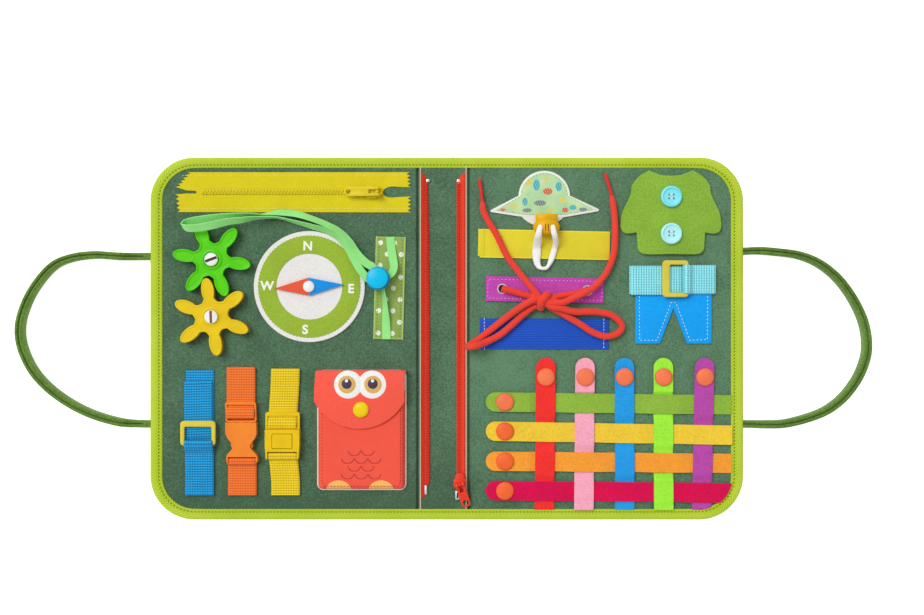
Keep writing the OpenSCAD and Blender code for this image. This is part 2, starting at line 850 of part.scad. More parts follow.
module press_buckle_tongue() {
    color("#E6C00C") translate([yellow_x, 0, 0]) {
        difference() {
            buckle_frame(press_w - 0.2, press_y);
            block([-press_w, press_y - 2 * frame_y_len, 0], [press_w, press_socket_y + seam, 30]);
        }
        raised(page_z + channel_floor + run, tongue_t) translate([0, press_socket_y]) difference() {
            translate([-press_channel_w / 2 + run, -13.5]) square([press_channel_w - 2 * run, 14]);
            translate([-2.2, -14]) square([4.4, 9]);
        }
    }
}

module press_buckle_button() {
    color("#EBC90F") translate([yellow_x, press_button_y, 0]) {
        raised(button_z, page_z + socket_t + 0.6 - button_z)
            round_rect(press_button_w, press_button_h, 0.9);
        block([-1.5, -3, button_z - 1], [1.5, 0, button_z]);
    }
}

// The owl pouch: a flat bag that is open under its flap, and a flap hinged on its back wall
pouch_x = -fold_x - 38.4;
pouch_y0 = from_bottom(21.1);
pouch_y1 = pouch_y0 + pouch_h;
pouch_r = 4.6;
mouth_w = 14;
front_z = page_z + pouch_t + pouch_gap;
flap_z = front_z + pouch_t + run;
flap_x = pouch_x - 1.6;
flap_w = pouch_w + 2;
flap_knuckle = pouch_t / 2;
flap_axis_y = pouch_y1 - flap_knuckle - 0.2;
eye_r = 9.6;
iris_r = 6.1;
eye_gap = 18;
eye_drop = 10.9;
beak_drop = 27.2;
beak_d = 11;
beak_t = 2.5;

module pouch_outline(inset) {
    translate([pouch_x, (pouch_y0 + pouch_y1) / 2])
        round_rect(pouch_w - 2 * inset, pouch_h - 2 * inset, pouch_r - inset);
}

module owl_pouch() {
    foot_w = 17.4;
    foot_h = 6.4;
    foot_r = (foot_w * foot_w / 4 + foot_h * foot_h) / (2 * foot_h);
    color(red_orange) {
        difference() {
            raised(page_z, front_z + pouch_t - page_z) pouch_outline(0);
            raised(page_z + pouch_t, pouch_gap) pouch_outline(pouch_t);
            block(
                [pouch_x - pouch_w / 2 + pouch_t, pouch_y1 - mouth_w, page_z + pouch_t],
                [pouch_x + pouch_w / 2 - pouch_t, pouch_y1 - pouch_t, 30]
            );
        }
        for (side = [-1, 1]) raised(front_z + pouch_t, 0.5) intersection() {
            translate([pouch_x + side * 14.8, pouch_y0 + foot_h - foot_r + 1.5]) circle(foot_r);
            translate([pouch_x - pouch_w / 2, pouch_y0 + 1.5]) square([pouch_w, foot_h]);
        }
    }
}

module owl_flap() {
    sides_h = 21;
    arc_drop = flap_h - sides_h;
    arc_r = (flap_w * flap_w / 4 + arc_drop * arc_drop) / (2 * arc_drop);
    color(red_orange) {
        raised(flap_z, pouch_t) {
            translate([flap_x - flap_w / 2, flap_axis_y - sides_h]) square([flap_w, sides_h]);
            intersection() {
                translate([flap_x, flap_axis_y - flap_h + arc_r]) circle(arc_r);
                translate([flap_x - flap_w / 2, flap_axis_y - flap_h]) square([flap_w, flap_h - sides_h + 1]);
            }
        }
        along_x(flap_x - flap_w / 2, flap_x + flap_w / 2)
            translate([flap_axis_y, flap_z + flap_knuckle]) circle(flap_knuckle);
        for (x = [-eye_gap / 2, eye_gap / 2]) translate([flap_x + x, flap_axis_y - eye_drop, flap_z + pouch_t]) {
            cylinder(h = print_t, r = eye_r);
            cylinder(h = print_t + 0.4, r = iris_r);
        }
        translate([flap_x, flap_axis_y - beak_drop, flap_z + pouch_t])
            cylinder(h = beak_t, d1 = beak_d, d2 = beak_d - 2);
    }
}

// The saucer patch with its toggle and elastic loop
saucer_x = fold_x + 52.1;
saucer_y = from_top(27.8);
saucer_t = 1.4;
dome_r = 18.1;
saucer_top = page_z + saucer_t;

module saucer_patch() {
    color("#EEF0EA") raised(page_z, saucer_t) translate([saucer_x, saucer_y]) {
        circle(dome_r);
        polygon([
            [-18, 0.6], [-37.2, -9], [-37.4, -10.8], [-14, -14.4],
            [14, -14.4], [38, -10], [38, -8.4], [18, 0.6]
        ]);
        intersection() {
            translate([-1.4, -6.6]) circle(14.2);
            translate([-20, -30]) square([40, 20]);
        }
    }
}

toggle_x = saucer_x + 1.6;
toggle_y1 = saucer_y - 15.4;
toggle_len = 10.6;
toggle_z = saucer_top + seam + toggle_t / 2;
toggle_top = toggle_z + toggle_t / 2;
toggle_cap_w = toggle_w - 3;
toggle_cap_t = 2.4;
toggle_stem_r = 3.6;

module toggle_barrel() {
    color("#D9AA0A") translate([toggle_x, 0, 0]) difference() {
        along_y(toggle_y1 - toggle_len, toggle_y1) translate([0, toggle_z]) oval(toggle_w, toggle_t);
        along_y(toggle_y1 - 7, toggle_y1 + 1) translate([0, toggle_z]) circle(toggle_stem_r + run);
        for (x = [-0.9, 0.9])
            block([x - 0.3, toggle_y1 - 8, toggle_top - 1], [x + 0.3, toggle_y1 - 4, toggle_top + 1]);
    }
}

module toggle_button() {
    cap_y = toggle_y1 + lock_stroke + run;
    color("#E0B40C") translate([toggle_x, 0, 0]) {
        along_y(cap_y, cap_y + toggle_cap_t) translate([0, toggle_z]) oval(toggle_cap_w, toggle_t - 2);
        along_y(toggle_y1 - 7 + lock_stroke + run, cap_y) translate([0, toggle_z]) circle(toggle_stem_r);
    }
}

loop_d = 4.6;
loop_points = [
    [-4.4, -7.2, 2.8], [-5.2, -10, 3], [-7, -14, -0.8], [-8, -20, -7], [-7, -28, -7.9],
    [-3.4, -35, -8], [1.4, -36.6, -8], [4.6, -32, -8], [6.4, -20, -7], [5.6, -14, -0.8],
    [4.6, -10, 3], [4.4, -7.2, 2.8]
];

module toggle_loop() {
    color("#F0F2EA") cord([for (p = loop_points) [toggle_x, toggle_y1, toggle_top] + p], loop_d, 2);
}

// Bands sewn across the page, and the strip with eyelets for the lace
elastic_t = 1.2;
lacing_t = 1.4;
elastic_x = fold_x + 6;
elastic_len = 92;
elastic_w = 20;
elastic_down = 61.3;
elastic_y = from_top(elastic_down);
lacing_x = saucer_x;
lacing_down = 92.6;
lacing_y = down(lacing_down);
lacing_len = 83.5;
lacing_w = 17.6;
ribbed_down = 123.7;
ribbed_y = down(ribbed_down);
ribbed_len = 90;
ribbed_w = 21.4;
eyelet_pitch = 59.4;
band_turn = -1.2;

module sewn_bands() {
    color("#E6D732") raised(page_z, elastic_t) translate([elastic_x + elastic_len / 2, elastic_y])
        rotate(band_turn) square([elastic_len, elastic_w], center = true);
    color("#BA3CAA") raised(page_z, lacing_t) translate([lacing_x, lacing_y]) rotate(band_turn) difference() {
        square([lacing_len, lacing_w], center = true);
        for (side = [-1, 1]) translate([side * eyelet_pitch / 2, 0]) circle(d = eyelet_bore + 1.2);
    }
    color("#2355BD") raised(page_z, elastic_t) translate([lacing_x, ribbed_y])
        square([ribbed_len, ribbed_w], center = true);
}

module eyelets() {
    color("#C9B8C6") translate([lacing_x, lacing_y, page_z]) rotate(band_turn) for (side = [-1, 1])
        translate([side * eyelet_pitch / 2, 0, 0]) difference() {
            union() {
                cylinder(h = lacing_t, d = eyelet_bore + 0.9);
                translate([0, 0, lacing_t]) cylinder(h = 0.8, d1 = eyelet_d, d2 = eyelet_d - 0.8);
            }
            translate([0, 0, -1]) cylinder(h = 9, d = eyelet_bore);
        }
}

// The shoelace, tied in a bow over the lacing strip. Points are counted from the knot and the page.
knot_x = saucer_x - 1;
knot_y = lacing_y - 8;
knot_d = 11.2;
knot_h = 7.6;
left_tail = [
    [-5.2, 6.2, 7.4], [-13, 17, 5.4], [-23, 31, 4.2], [-32.4, 46.6, 4], [-38.5, 56, 3.2], [-41.6, 63, 2.8],
    [-42.4, 70, 2.7], [-43.4, 78, 2.7], [-44.4, 85, 2.7]
];
right_tail = [
    [7.6, 0.8, 8.9], [15, 1.8, 9.2], [25, 4.8, 9.5], [31, 8.2, 9.7], [37, 12.4, 7.6], [44.6, 21, 4.4],
    [49, 32, 3.9], [50.2, 45, 3.9], [49.8, 59, 3], [48.2, 71.5, 2.7], [46, 80, 2.7], [43.4, 88.6, 2.7]
];
left_bow = [
    [-7.6, 0.2, 8.9], [-13.6, -0.8, 8.4], [-22, -7, 6.2], [-30, -13.8, 4.8], [-38, -20.6, 4.4],
    [-44, -25.8, 4.2], [-47.8, -28.6, 4], [-50, -31.6, 3.6], [-48.8, -34.4, 3.6],
    [-45, -34.6, 3.8], [-40, -31.6, 4],
    [-33, -26.6, 4.1], [-24.5, -18.6, 4.1], [-17, -11, 4.2], [-11, -6.4, 4.1], [-6.6, -4.4, 4.3]
];
right_bow = [
    [6.6, -4.4, 8.3], [12.6, -5.4, 8.2], [22, -7.6, 6.8], [35, -7.6, 5.4], [46, -9.4, 4.6], [53, -14, 4],
    [54.8, -18.8, 3.8], [51, -23.2, 3.8], [43, -24.8, 4.2], [34, -21.6, 4.2], [25, -15.8, 4.1],
    [14, -10.4, 4], [6.4, -8, 4]
];
left_run = [[-28.7, 8.6, 4.7], [-20, 6.2, 4.2], [-13, 4.2, 4], [-7.6, 2.2, 4]];
right_run = [[30.7, 7.4, 4.7], [22.4, 5, 4.2], [14, 3.6, 4], [7.8, 2.4, 4]];

module shoelace() {
    color(zip_red) translate([knot_x, knot_y, page_z]) {
        for (route = [left_tail, right_tail, left_bow, right_bow, left_run, right_run])
            cord([for (p = route) [p[0], p[1] * fit, p[2]]], lace_d, 2);
        translate([0, 0, lacing_t + run + knot_h / 2]) rotate_extrude() intersection() {
            oval(knot_d, knot_h);
            translate([0, -knot_h]) square([knot_d, 2 * knot_h]);
        }
    }
}

// The felt jacket. Points are half its outline, from the neck round to the hem.
jacket_in = 48.4;
jacket_x = from_right(jacket_in);
jacket_h = 58.8 * fit;
jacket_edge = 9.2;
jacket_y0 = from_top(jacket_edge + jacket_h);
jacket_top = page_z + jacket_t;
button_places = [14.2 * fit, 40 * fit];
jacket_half = [
    [0, 55], [6, 55.4], [11, 57], [15.4, 58.8], [22.4, 54.4], [27, 48.5], [28, 42.5], [31, 35.7],
    [34, 29.2], [35, 22.8], [35, 18.5], [33, 15.2], [29.4, 14.5], [23.8, 15.3], [23.5, 8], [23, 3.6],
    [20.8, 0.9], [15.4, 0], [0, 0.2]
];

module jacket() {
    last = len(jacket_half) - 1;
    color("#8AB43F") raised(page_z, jacket_t) translate([jacket_x, jacket_y0]) scale([1, fit]) polygon(concat(
        jacket_half, [for (i = [last - 1:-1:1]) [-jacket_half[i][0], jacket_half[i][1]]]
    ));
}

module jacket_buttons() {
    color("#6EDAE5") for (y = button_places) translate([jacket_x, jacket_y0 + y, jacket_top]) difference() {
        union() {
            cylinder(h = 2, d1 = button_d - 2, d2 = button_d);
            translate([0, 0, 2]) cylinder(h = 1, d1 = button_d, d2 = button_d - 1.6);
        }
        translate([0, 0, 2.2]) cylinder(h = 2, d1 = button_d - 6, d2 = button_d - 4);
        for (k = [0:3]) rotate(45 + 90 * k) translate([2, 0, -1]) cylinder(h = 9, d = 1.7);
    }
}

// The shorts, with a belt and a ring like the straps'
shorts_in = 47.1;
shorts_x = from_right(shorts_in);
shorts_gap = 10 * fit;
shorts_y1 = jacket_y0 - shorts_gap;
shorts_h = 52.6 * fit;
shorts_w = 53.4;
crotch_h = 24.7 * fit;
inner_hem = 17.2;
belt_drop = 7.3;
belt_y = shorts_y1 - belt_drop;
belt_len = 60.6;
belt_z = page_z + shorts_t;
belt_bar_x = 8.4;
belt_bar_z = belt_z + web_t + hem_r;
belt_ring_top_w = 5.1;
belt_ring_reach = 17;

module shorts() {
    h = shorts_w / 2;
    color("#16A0EC") raised(page_z, shorts_t) translate([shorts_x, shorts_y1 - shorts_h]) polygon([
        [-h, 0], [-inner_hem / 2, 0], [-1, crotch_h], [1, crotch_h],
        [inner_hem / 2, 0], [h, 0], [h, shorts_h], [-h, shorts_h]
    ]);
}

// The belt is webbing that runs along X, so it is a strap turned a quarter
module belt() {
    color("#84D7E3") translate([shorts_x, belt_y, 0]) rotate(90) difference() {
        union() {
            flat_web(-belt_len / 2, belt_len / 2, belt_z, belt_z + web_t);
            flat_web(-belt_bar_x + hem_r + run, belt_len / 2, belt_z, belt_z + 2 * web_t);
            flat_web(-belt_len / 2, -belt_bar_x, belt_z, belt_z + 2 * web_t);
            hem(-belt_bar_x, belt_bar_z);
        }
        along_x(-web_w, web_w) translate([-belt_bar_x, belt_bar_z]) circle(hem_bore);
    }
}

module belt_ring() {
    color("#DCC34A") translate([shorts_x + belt_bar_x, belt_y, belt_bar_z]) rotate(90)
        strap_ring(belt_ring_reach, belt_ring_top_w);
}

// Weaving strips. A strip is low where another lies on it, and high where it lies on the other.
rows = 4;
cols = 5;
rows_up = 81.3;
row_y = from_bottom(rows_up);
col_x = fold_x + 53.2;
high_z = strip_t + seam;
across_hinge_x = col_x - strip_w / 2 - 5.8;
down_hinge_y = row_y + strip_w / 2 + 2;
across_end_len = 29.4;
down_end_len = 23.4;
snap_in = 13.4;
snap_t = 2.6;
socket_d = 10;
socket_h = 0.9;
across_colours = ["#90B543", "#EAC437", "#F09932", "#D40C4B"];
down_colours = ["#E83D26", "#F3ADC5", "#3293CC", "#A2EB4A", "#B3489D"];
function row_at(r) = row_y - r * row_pitch;
function col_at(c) = col_x + c * col_pitch;
function down_on_top(r, c) = (r + c) % 2 == 0;

// The side view of a strip: start and end, and a crossing place and height for each strip it meets
module woven_profile(start, end, places, heights) {
    flat = strip_w / 2 + run;
    dir = end > start ? 1 : -1;
    line = concat(
        [[start, high_z]],
        [
            for (i = [0:len(places) - 1], end_of = [-1, 1])
                [places[i] + end_of * dir * flat, heights[i]]
        ],
        [[end, heights[len(places) - 1]]]
    );
    lift = [for (p = line) [p[0], p[1] + page_z]];
    polygon(concat(lift, [for (i = [len(lift) - 1:-1:0]) lift[i] + [0, strip_t]]));
}

// The strips' far ends are cut to the binding's inner edge
module in_window() {
    intersection() {
        children();
        raised(0, 2 * binding_z) half_sheet(fold_x, binding_w + seam);
    }
}

module weave_strips() {
    for (r = [0:rows - 1]) color(across_colours[r]) in_window()
        along_y(row_at(r) - strip_w / 2, row_at(r) + strip_w / 2) woven_profile(
            across_hinge_x + seam, window_x - seam,
            [for (c = [0:cols - 1]) col_at(c)],
            [for (c = [0:cols - 1]) down_on_top(r, c) ? 0 : high_z]
        );
    for (c = [0:cols - 1]) color(down_colours[c]) in_window()
        along_x(col_at(c) - strip_w / 2, col_at(c) + strip_w / 2) woven_profile(
            down_hinge_y - seam, seam - window_y,
            [for (r = [0:rows - 1]) row_at(r)],
            [for (r = [0:rows - 1]) down_on_top(r, c) ? high_z : 0]
        );
}

module snap_sockets() {
    color("#E8703C") {
        for (r = [0:rows - 1]) translate([across_hinge_x - across_end_len + snap_in, row_at(r), page_z])
            cylinder(h = socket_h, d = socket_d);
        for (c = [0:cols - 1]) translate([col_at(c), down_hinge_y + down_end_len - snap_in, page_z])
            cylinder(h = socket_h, d = socket_d);
    }
}

// A strip's loose end along X from its hinge, with a round tip and its snap
module strip_end(len, colour) {
    color(colour) raised(page_z + high_z, strip_t) {
        translate([seam, -strip_w / 2]) square([len - strip_w / 2 - seam, strip_w]);
        translate([len - strip_w / 2, 0]) circle(d = strip_w);
    }
    color("#F37050") translate([len - snap_in, 0, page_z]) {
        translate([0, 0, high_z + strip_t]) cylinder(h = snap_t / 2, d = snap_d);
        translate([0, 0, high_z + strip_t + snap_t / 2])
            cylinder(h = snap_t / 2, d1 = snap_d, d2 = snap_d - 3);
        translate([0, 0, socket_h + seam]) cylinder(h = high_z - socket_h - seam, d = socket_d / 2);
    }
}

module across_end(r) {
    translate([across_hinge_x, row_at(r), 0]) rotate(180) strip_end(across_end_len, across_colours[r]);
}

module down_end(c) {
    translate([col_at(c), down_hinge_y, 0]) rotate(90) strip_end(down_end_len, down_colours[c]);
}

spine_panel();
spine_binding();
spine_zip();
spine_slider();
spine_pull();
left_cover();
left_page();
left_binding();
left_handle();
right_cover();
right_page();
right_binding();
right_handle();
pocket_zip();
pocket_slider();
pocket_pull();
green_gear();
yellow_gear();
pivot_rivets();
compass_dial();
compass_needle();
ribbon_tag();
ribbon_loop();
cord_lock();
cord_lock_button();
blue_strap();
blue_strap_ring();
orange_strap();
yellow_strap();
strap_tails();
side_buckle_socket();
side_buckle_plug();
press_buckle_socket();
press_buckle_tongue();
press_buckle_button();
owl_pouch();
owl_flap();
saucer_patch();
toggle_barrel();
toggle_button();
toggle_loop();
sewn_bands();
eyelets();
shoelace();
jacket();
jacket_buttons();
shorts();
belt();
belt_ring();
weave_strips();
snap_sockets();
across_end(0);  // across_end_1
across_end(1);  // across_end_2
across_end(2);  // across_end_3
across_end(3);  // across_end_4
down_end(0);  // down_end_1
down_end(1);  // down_end_2
down_end(2);  // down_end_3
down_end(3);  // down_end_4
down_end(4);  // down_end_5
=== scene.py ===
from math import atan2, copysign, cos, degrees, hypot, pi, radians, sin, sqrt

import bpy
from mathutils import Matrix, Vector


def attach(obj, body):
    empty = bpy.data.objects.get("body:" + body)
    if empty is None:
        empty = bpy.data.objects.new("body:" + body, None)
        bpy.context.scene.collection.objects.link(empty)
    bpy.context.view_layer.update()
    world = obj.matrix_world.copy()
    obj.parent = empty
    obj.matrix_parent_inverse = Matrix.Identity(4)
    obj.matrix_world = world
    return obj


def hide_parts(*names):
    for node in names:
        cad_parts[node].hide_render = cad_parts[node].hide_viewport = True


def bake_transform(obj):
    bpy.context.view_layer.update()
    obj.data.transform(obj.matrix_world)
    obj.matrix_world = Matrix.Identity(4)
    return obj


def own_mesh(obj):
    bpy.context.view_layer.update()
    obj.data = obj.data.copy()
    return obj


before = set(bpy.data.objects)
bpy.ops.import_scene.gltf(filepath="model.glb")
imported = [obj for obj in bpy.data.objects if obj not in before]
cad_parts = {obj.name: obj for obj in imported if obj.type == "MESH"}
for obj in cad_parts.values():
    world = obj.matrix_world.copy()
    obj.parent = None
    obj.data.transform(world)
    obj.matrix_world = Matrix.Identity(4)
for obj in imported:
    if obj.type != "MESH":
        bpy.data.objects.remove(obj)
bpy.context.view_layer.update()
scene = bpy.context.scene
scene.view_settings.view_transform = "Standard"
MM = 0.001


# Colours and finishes


def rgb(red, green, blue):
    """A colour as a screen shows it, 0 to 255, as the linear one that a shader takes."""
    channels = (c / 255 for c in (red, green, blue))
    return tuple(c / 12.92 if c <= 0.04045 else ((c + 0.055) / 1.055) ** 2.4 for c in channels) + (1.0,)


def tone(colour, amount):
    """The colour made darker or lighter."""
    return tuple(min(1.0, c * amount) for c in colour[:3]) + (1.0,)


class Value:
    """A socket of a finish. Arithmetic on it adds Math nodes."""

    def __init__(self, finish, socket):
        self.finish, self.socket = finish, socket

    def math(self, operation, *others):
        return self.finish.node("Math", {"operation": operation}, self, *others)

    def __add__(self, other):
        return self.math("ADD", other)

    def __mul__(self, other):
        return self.math("MULTIPLY", other)

    __radd__, __rmul__ = __add__, __mul__

    def __sub__(self, other):
        return self.math("SUBTRACT", other)

    def __rsub__(self, other):
        return self.finish.node("Math", {"operation": "SUBTRACT"}, other, self)

    def __truediv__(self, other):
        return self.math("DIVIDE", other)

    def __pow__(self, other):
        return self.math("POWER", other)

    def __mod__(self, other):
        return self.math("FLOORED_MODULO", other)

    def __gt__(self, other):
        return self.math("GREATER_THAN", other)

    def __abs__(self):
        return self.math("ABSOLUTE")

    def most(self, other):
        return self.math("MAXIMUM", other)

    def whole(self):
        return self.math("FLOOR")

    def wave(self, length):
        """A sine of this wavelength, from -1 to 1."""
        return (self * (2 * pi / length)).math("SINE")

    def rise(self, low, high):
        """0 below low, 1 above high and smooth between them."""
        return self.finish.node("MapRange", {"interpolation_type": "SMOOTHSTEP"}, self, low, high, 0.0, 1.0)


class Finish:
    """A material whose patterns are written as expressions on places in mm."""

    def __init__(self, name, colour, roughness, **settings):
        self.material = bpy.data.materials.new(name)
        self.material.use_nodes = True
        self.tree = self.material.node_tree
        self.shader = self.tree.nodes["Principled BSDF"]
        self.shader.inputs["Base Color"].default_value = colour
        self.shader.inputs["Roughness"].default_value = roughness
        for socket, value in settings.items():
            self.shader.inputs[socket.replace("_", " ")].default_value = value

    def node(self, kind, settings, *values, out=0, **named):
        """Adds a shader node with its settings and inputs, and gives one of its outputs."""
        node = self.tree.nodes.new("ShaderNode" + kind)
        for setting, value in settings.items():
            setattr(node, setting, value)
        sockets = list(zip(node.inputs, values))
        sockets += [(node.inputs[name.replace("_", " ")], value) for name, value in named.items()]
        for socket, value in sockets:
            if isinstance(value, Value):
                self.tree.links.new(value.socket, socket)
            elif value is not None:
                socket.default_value = value
        return Value(self, node.outputs[out])

    def place(self, shift=(0, 0, 0), turn=0.0, stretch=(1, 1, 1)):
        """Object coordinates in mm, from a centre, turned in degrees and stretched."""
        spot = self.node("TexCoord", {}, out="Object")
        spot = self.node("VectorMath", {"operation": "SCALE"}, spot, Scale=1000.0)
        spot = self.node("VectorMath", {"operation": "SUBTRACT"}, spot, shift)
        if turn:
            spot = self.node("VectorRotate", {"rotation_type": "Z_AXIS"}, spot, Angle=radians(-turn))
        if stretch != (1, 1, 1):
            spot = self.node("VectorMath", {"operation": "MULTIPLY"}, spot, stretch)
        return spot

    def axes(self, vector):
        """The three parts of a vector."""
        split = self.node("SeparateXYZ", {}, vector)
        return [Value(self, socket) for socket in split.socket.node.outputs]

    def weave(self):
        """The piece's own map in mm: across it and along it."""
        return self.axes(self.node("UVMap", {"uv_map": "UVMap"}))[:2]

    def noise(self, size, vector=None, detail=2.0):
        """Clouds of this size in mm, from 0 to 1."""
        return self.node("TexNoise", {}, vector or self.place(), Scale=1.0 / size, Detail=detail)

    def mix(self, low, high, amount):
        """From one colour to another; the node's five sockets for numbers and vectors stay free."""
        free = [None] * 5
        return self.node("Mix", {"data_type": "RGBA"}, amount, *free, low, high, out=2)

    def graded(self, colour, depth, shade):
        """The colour where the shade is a half, darker below that and lighter above."""
        dark = self.mix(tone(colour, 1 - depth), colour, shade * 2)
        return self.mix(dark, tone(colour, 1 + depth), shade * 2 - 1)

    def wear(self, colour=None, roughness=None, height=None):
        """What changes over the surface; the height is in mm."""
        bump = height and self.node("Bump", {}, Strength=1.0, Distance=MM, Height=height)
        for socket, value in (("Base Color", colour), ("Roughness", roughness), ("Normal", bump)):
            if value is not None:
                self.tree.links.new(value.socket, self.shader.inputs[socket])
        return self


def felt(name, colour, grain=1.0, painted_light=None):
    """Pressed felt: clouds, a matted nap and loose fibres both ways; the last argument adds painted light and
    shade as a slow change of tone.
    """
    f = Finish(name, colour, 0.95, Sheen_Weight=0.1, Specular_IOR_Level=0.12)
    fibres = f.noise(0.7, f.place(stretch=(0.25, 1, 1))).most(f.noise(0.7, f.place(stretch=(1, 0.25, 1))))
    nap = f.noise(1.1, detail=3.0)
    shade = (f.noise(16) * 0.7 + nap * 1.7 + fibres * 1.5 - 2.1) * grain + 0.5
    # Painted light and shade added to the tone.
    shade = shade + painted_light(f) if painted_light else shade
    return f.wear(f.graded(colour, 0.38, shade), height=(nap * 0.16 + fibres * 0.24) * grain)


def webbing(name, colour, depth=0.3):
    """Woven strap: rows of short yarns side by side, with painted shade in the gaps between them."""
    f = Finish(name, colour, 0.75, Sheen_Weight=0.06, Specular_IOR_Level=0.18)
    across, along = f.weave()
    yarn = 1.75
    ridge = abs(along.wave(2 * yarn)) ** 0.55
    knot = abs(across.wave(2 * yarn)) ** 0.6
    height = ridge * (knot * 0.6 + 0.4)
    # Painted shade: the colour follows the yarns' height, darker in the gaps.
    shade = height * 1.15 + f.noise(0.8) * 0.5 + f.noise(9) * 0.3 - 0.68
    return f.wear(f.graded(colour, depth, shade), f.noise(3) * 0.2 + 0.6, height * 0.3)


def twill(name, colour):
    """Zip tape: fine slanted ribs that turn at the pocket zip's middle line."""
    f = Finish(name, colour, 0.75, Specular_IOR_Level=0.25)
    x, y, _ = f.axes(f.place())
    rib = 1.6
    ridge = (x + abs(y - ZIP_Y)).wave(rib) * 0.5 + 0.5
    shade = ridge * 0.5 + f.noise(0.8) * 0.4 + f.noise(9) * 0.5 - 0.2
    return f.wear(f.graded(colour, 0.16, shade), height=ridge * 0.16 + f.noise(7) * 0.3)


def edging(name):
    """Binding tape: slanted ribs that turn at its middle, and its seam's stitch holes, sunk and darkened with
    painted shade.
    """
    deep, plain, bright = rgb(152, 184, 18), rgb(194, 214, 46), rgb(214, 228, 92)
    f = Finish(name, plain, 0.8, Sheen_Weight=0.08, Specular_IOR_Level=0.15)
    across, along = f.weave()
    outer = across.rise(4.3, 4.9)
    slant = (along + (across - 4.6) * 0.8).wave(2.1) * 0.5 + 0.5
    back = (along - (across - 4.6) * 0.8).wave(1.9) * 0.5 + 0.5
    ridge = slant + (back - slant) * outer
    seam = 1 - abs(across - 2.5 + (along % 2.4) * 0.2 - 0.24).rise(0.25, 0.55)
    stitch = seam * (along.wave(2.4)).rise(0.1, 0.6)
    shade = ridge * 0.6 + f.noise(1.3) * 0.5 + f.noise(30) * 0.6 - 0.3
    colour = f.mix(f.mix(deep, plain, shade), bright, outer * 0.35 * ridge + f.noise(22) * 0.5 - 0.12)
    # Painted shade in the seam's stitch holes.
    colour = f.mix(colour, rgb(88, 124, 6), stitch * 0.75)
    return f.wear(colour, height=ridge * 0.22 - seam * 0.2 - stitch * 0.3)


def elastic(name, colour, centre, half, pitch, turn=0.0, ribs=0.3, depth=0.2):
    """Elastic band: fine cords along it, a faint weave across and paler edges."""
    f = Finish(name, colour, 0.75, Sheen_Weight=0.1, Specular_IOR_Level=0.25)
    x, y, _ = f.axes(f.place((*centre, 0), turn))
    cord = y.wave(pitch) * 0.5 + 0.5
    cross = x.wave(1.3) * 0.5 + 0.5
    clouds = f.noise(0.9) * 0.35 + f.noise(12) * 0.3
    edges = abs(y).rise(half - 1, half - 0.6)
    shade = (cord - 0.5) * ribs + cross * 0.05 + clouds + edges * 0.4 + 0.13
    return f.wear(f.graded(colour, 0.26, shade), height=cord * depth + cross * 0.06)


def satin(name, colour):
    """Soft ribbon: fine ribs across it and plain edges."""
    f = Finish(name, colour, 0.55, Sheen_Weight=0.3, Specular_IOR_Level=0.35)
    _, along = f.weave()
    rib = along.wave(0.8) * 0.5 + 0.5
    shade = rib * 0.2 + f.noise(14) * 0.9 - 0.05
    return f.wear(f.graded(colour, 0.18, shade), height=rib * 0.06 + f.noise(1.5) * 0.05)


def braid(name, colour, pitch=2.2, lift=0.25):
    """Braided lace: strands that cross on the slant."""
    f = Finish(name, colour, 0.65, Sheen_Weight=0.15, Specular_IOR_Level=0.3)
    across, along = f.weave()
    right = (along + across * 1.1).wave(pitch)
    left = (along - across * 1.1).wave(pitch)
    strand = right.most(left) * 0.5 + 0.5
    shade = strand * 0.55 + f.noise(0.6) * 0.3 + f.noise(11) * 0.4 - 0.15
    return f.wear(f.graded(colour, 0.18, shade), height=strand * lift)


def plastic(name, colour, roughness=0.35, wall_shade=None):
    """Moulded plastic: uneven in gloss and tint, with fine scuffs; a gear's sides get painted shade, a darker
    colour below its top.
    """
    f = Finish(name, colour, roughness, Specular_IOR_Level=0.2)
    flow = f.noise(11, detail=3.0)
    scuff = f.noise(0.5, f.place(stretch=(1, 0.15, 1)), 3.0)
    colour = f.graded(colour, 0.1, flow * 1.6 - 0.3)
    # Painted shade on a gear's sides, fading out towards its top.
    if wall_shade:
        height = f.axes(f.place())[2]
        colour = f.mix(wall_shade, colour, height.rise(*GEAR_WALL_SHADE))
    return f.wear(colour, flow * 0.2 + scuff * 0.16 + roughness - 0.18, f.noise(0.6) * 0.03 + flow * 0.12)


def metal(name, colour):
    """Plated metal with fine brush marks."""
    f = Finish(name, colour, 0.3, Metallic=0.6)
    brush = f.noise(0.4, f.place(stretch=(1, 0.1, 1)), 3.0)
    return f.wear(f.mix(tone(colour, 0.8), tone(colour, 1.15), brush), brush * 0.3 + 0.15, brush * 0.02)


def thread(name, colour):
    """Sewing thread: the twist shows as slanted bands."""
    f = Finish(name, colour, 0.7, Specular_IOR_Level=0.25)
    x, y, _ = f.axes(f.place())
    twist = (x + y).wave(0.5) * 0.5 + 0.5
    return f.wear(f.graded(colour, 0.15, twist), height=twist * 0.05)


# Making pieces


def deselect():
    bpy.ops.object.select_all(action="DESELECT")


def alone(piece):
    """Makes one piece the only selected and the active one."""
    deselect()
    piece.select_set(True)
    bpy.context.view_layer.objects.active = piece


def edit(piece, *steps):
    """Runs edit-mode steps on the whole piece."""
    alone(piece)
    bpy.ops.object.mode_set(mode="EDIT")
    bpy.ops.mesh.select_mode(type="VERT")
    for step in steps:
        bpy.ops.mesh.select_all(action="SELECT")
        step()
    bpy.ops.object.mode_set(mode="OBJECT")


def merge():
    bpy.ops.mesh.remove_doubles(threshold=1e-6)


def outwards():
    bpy.ops.mesh.normals_make_consistent(inside=False)


def cap_ends():
    bpy.ops.mesh.fill_holes(sides=0)


def flatten():
    bpy.ops.mesh.dissolve_limited(angle_limit=radians(1.5))


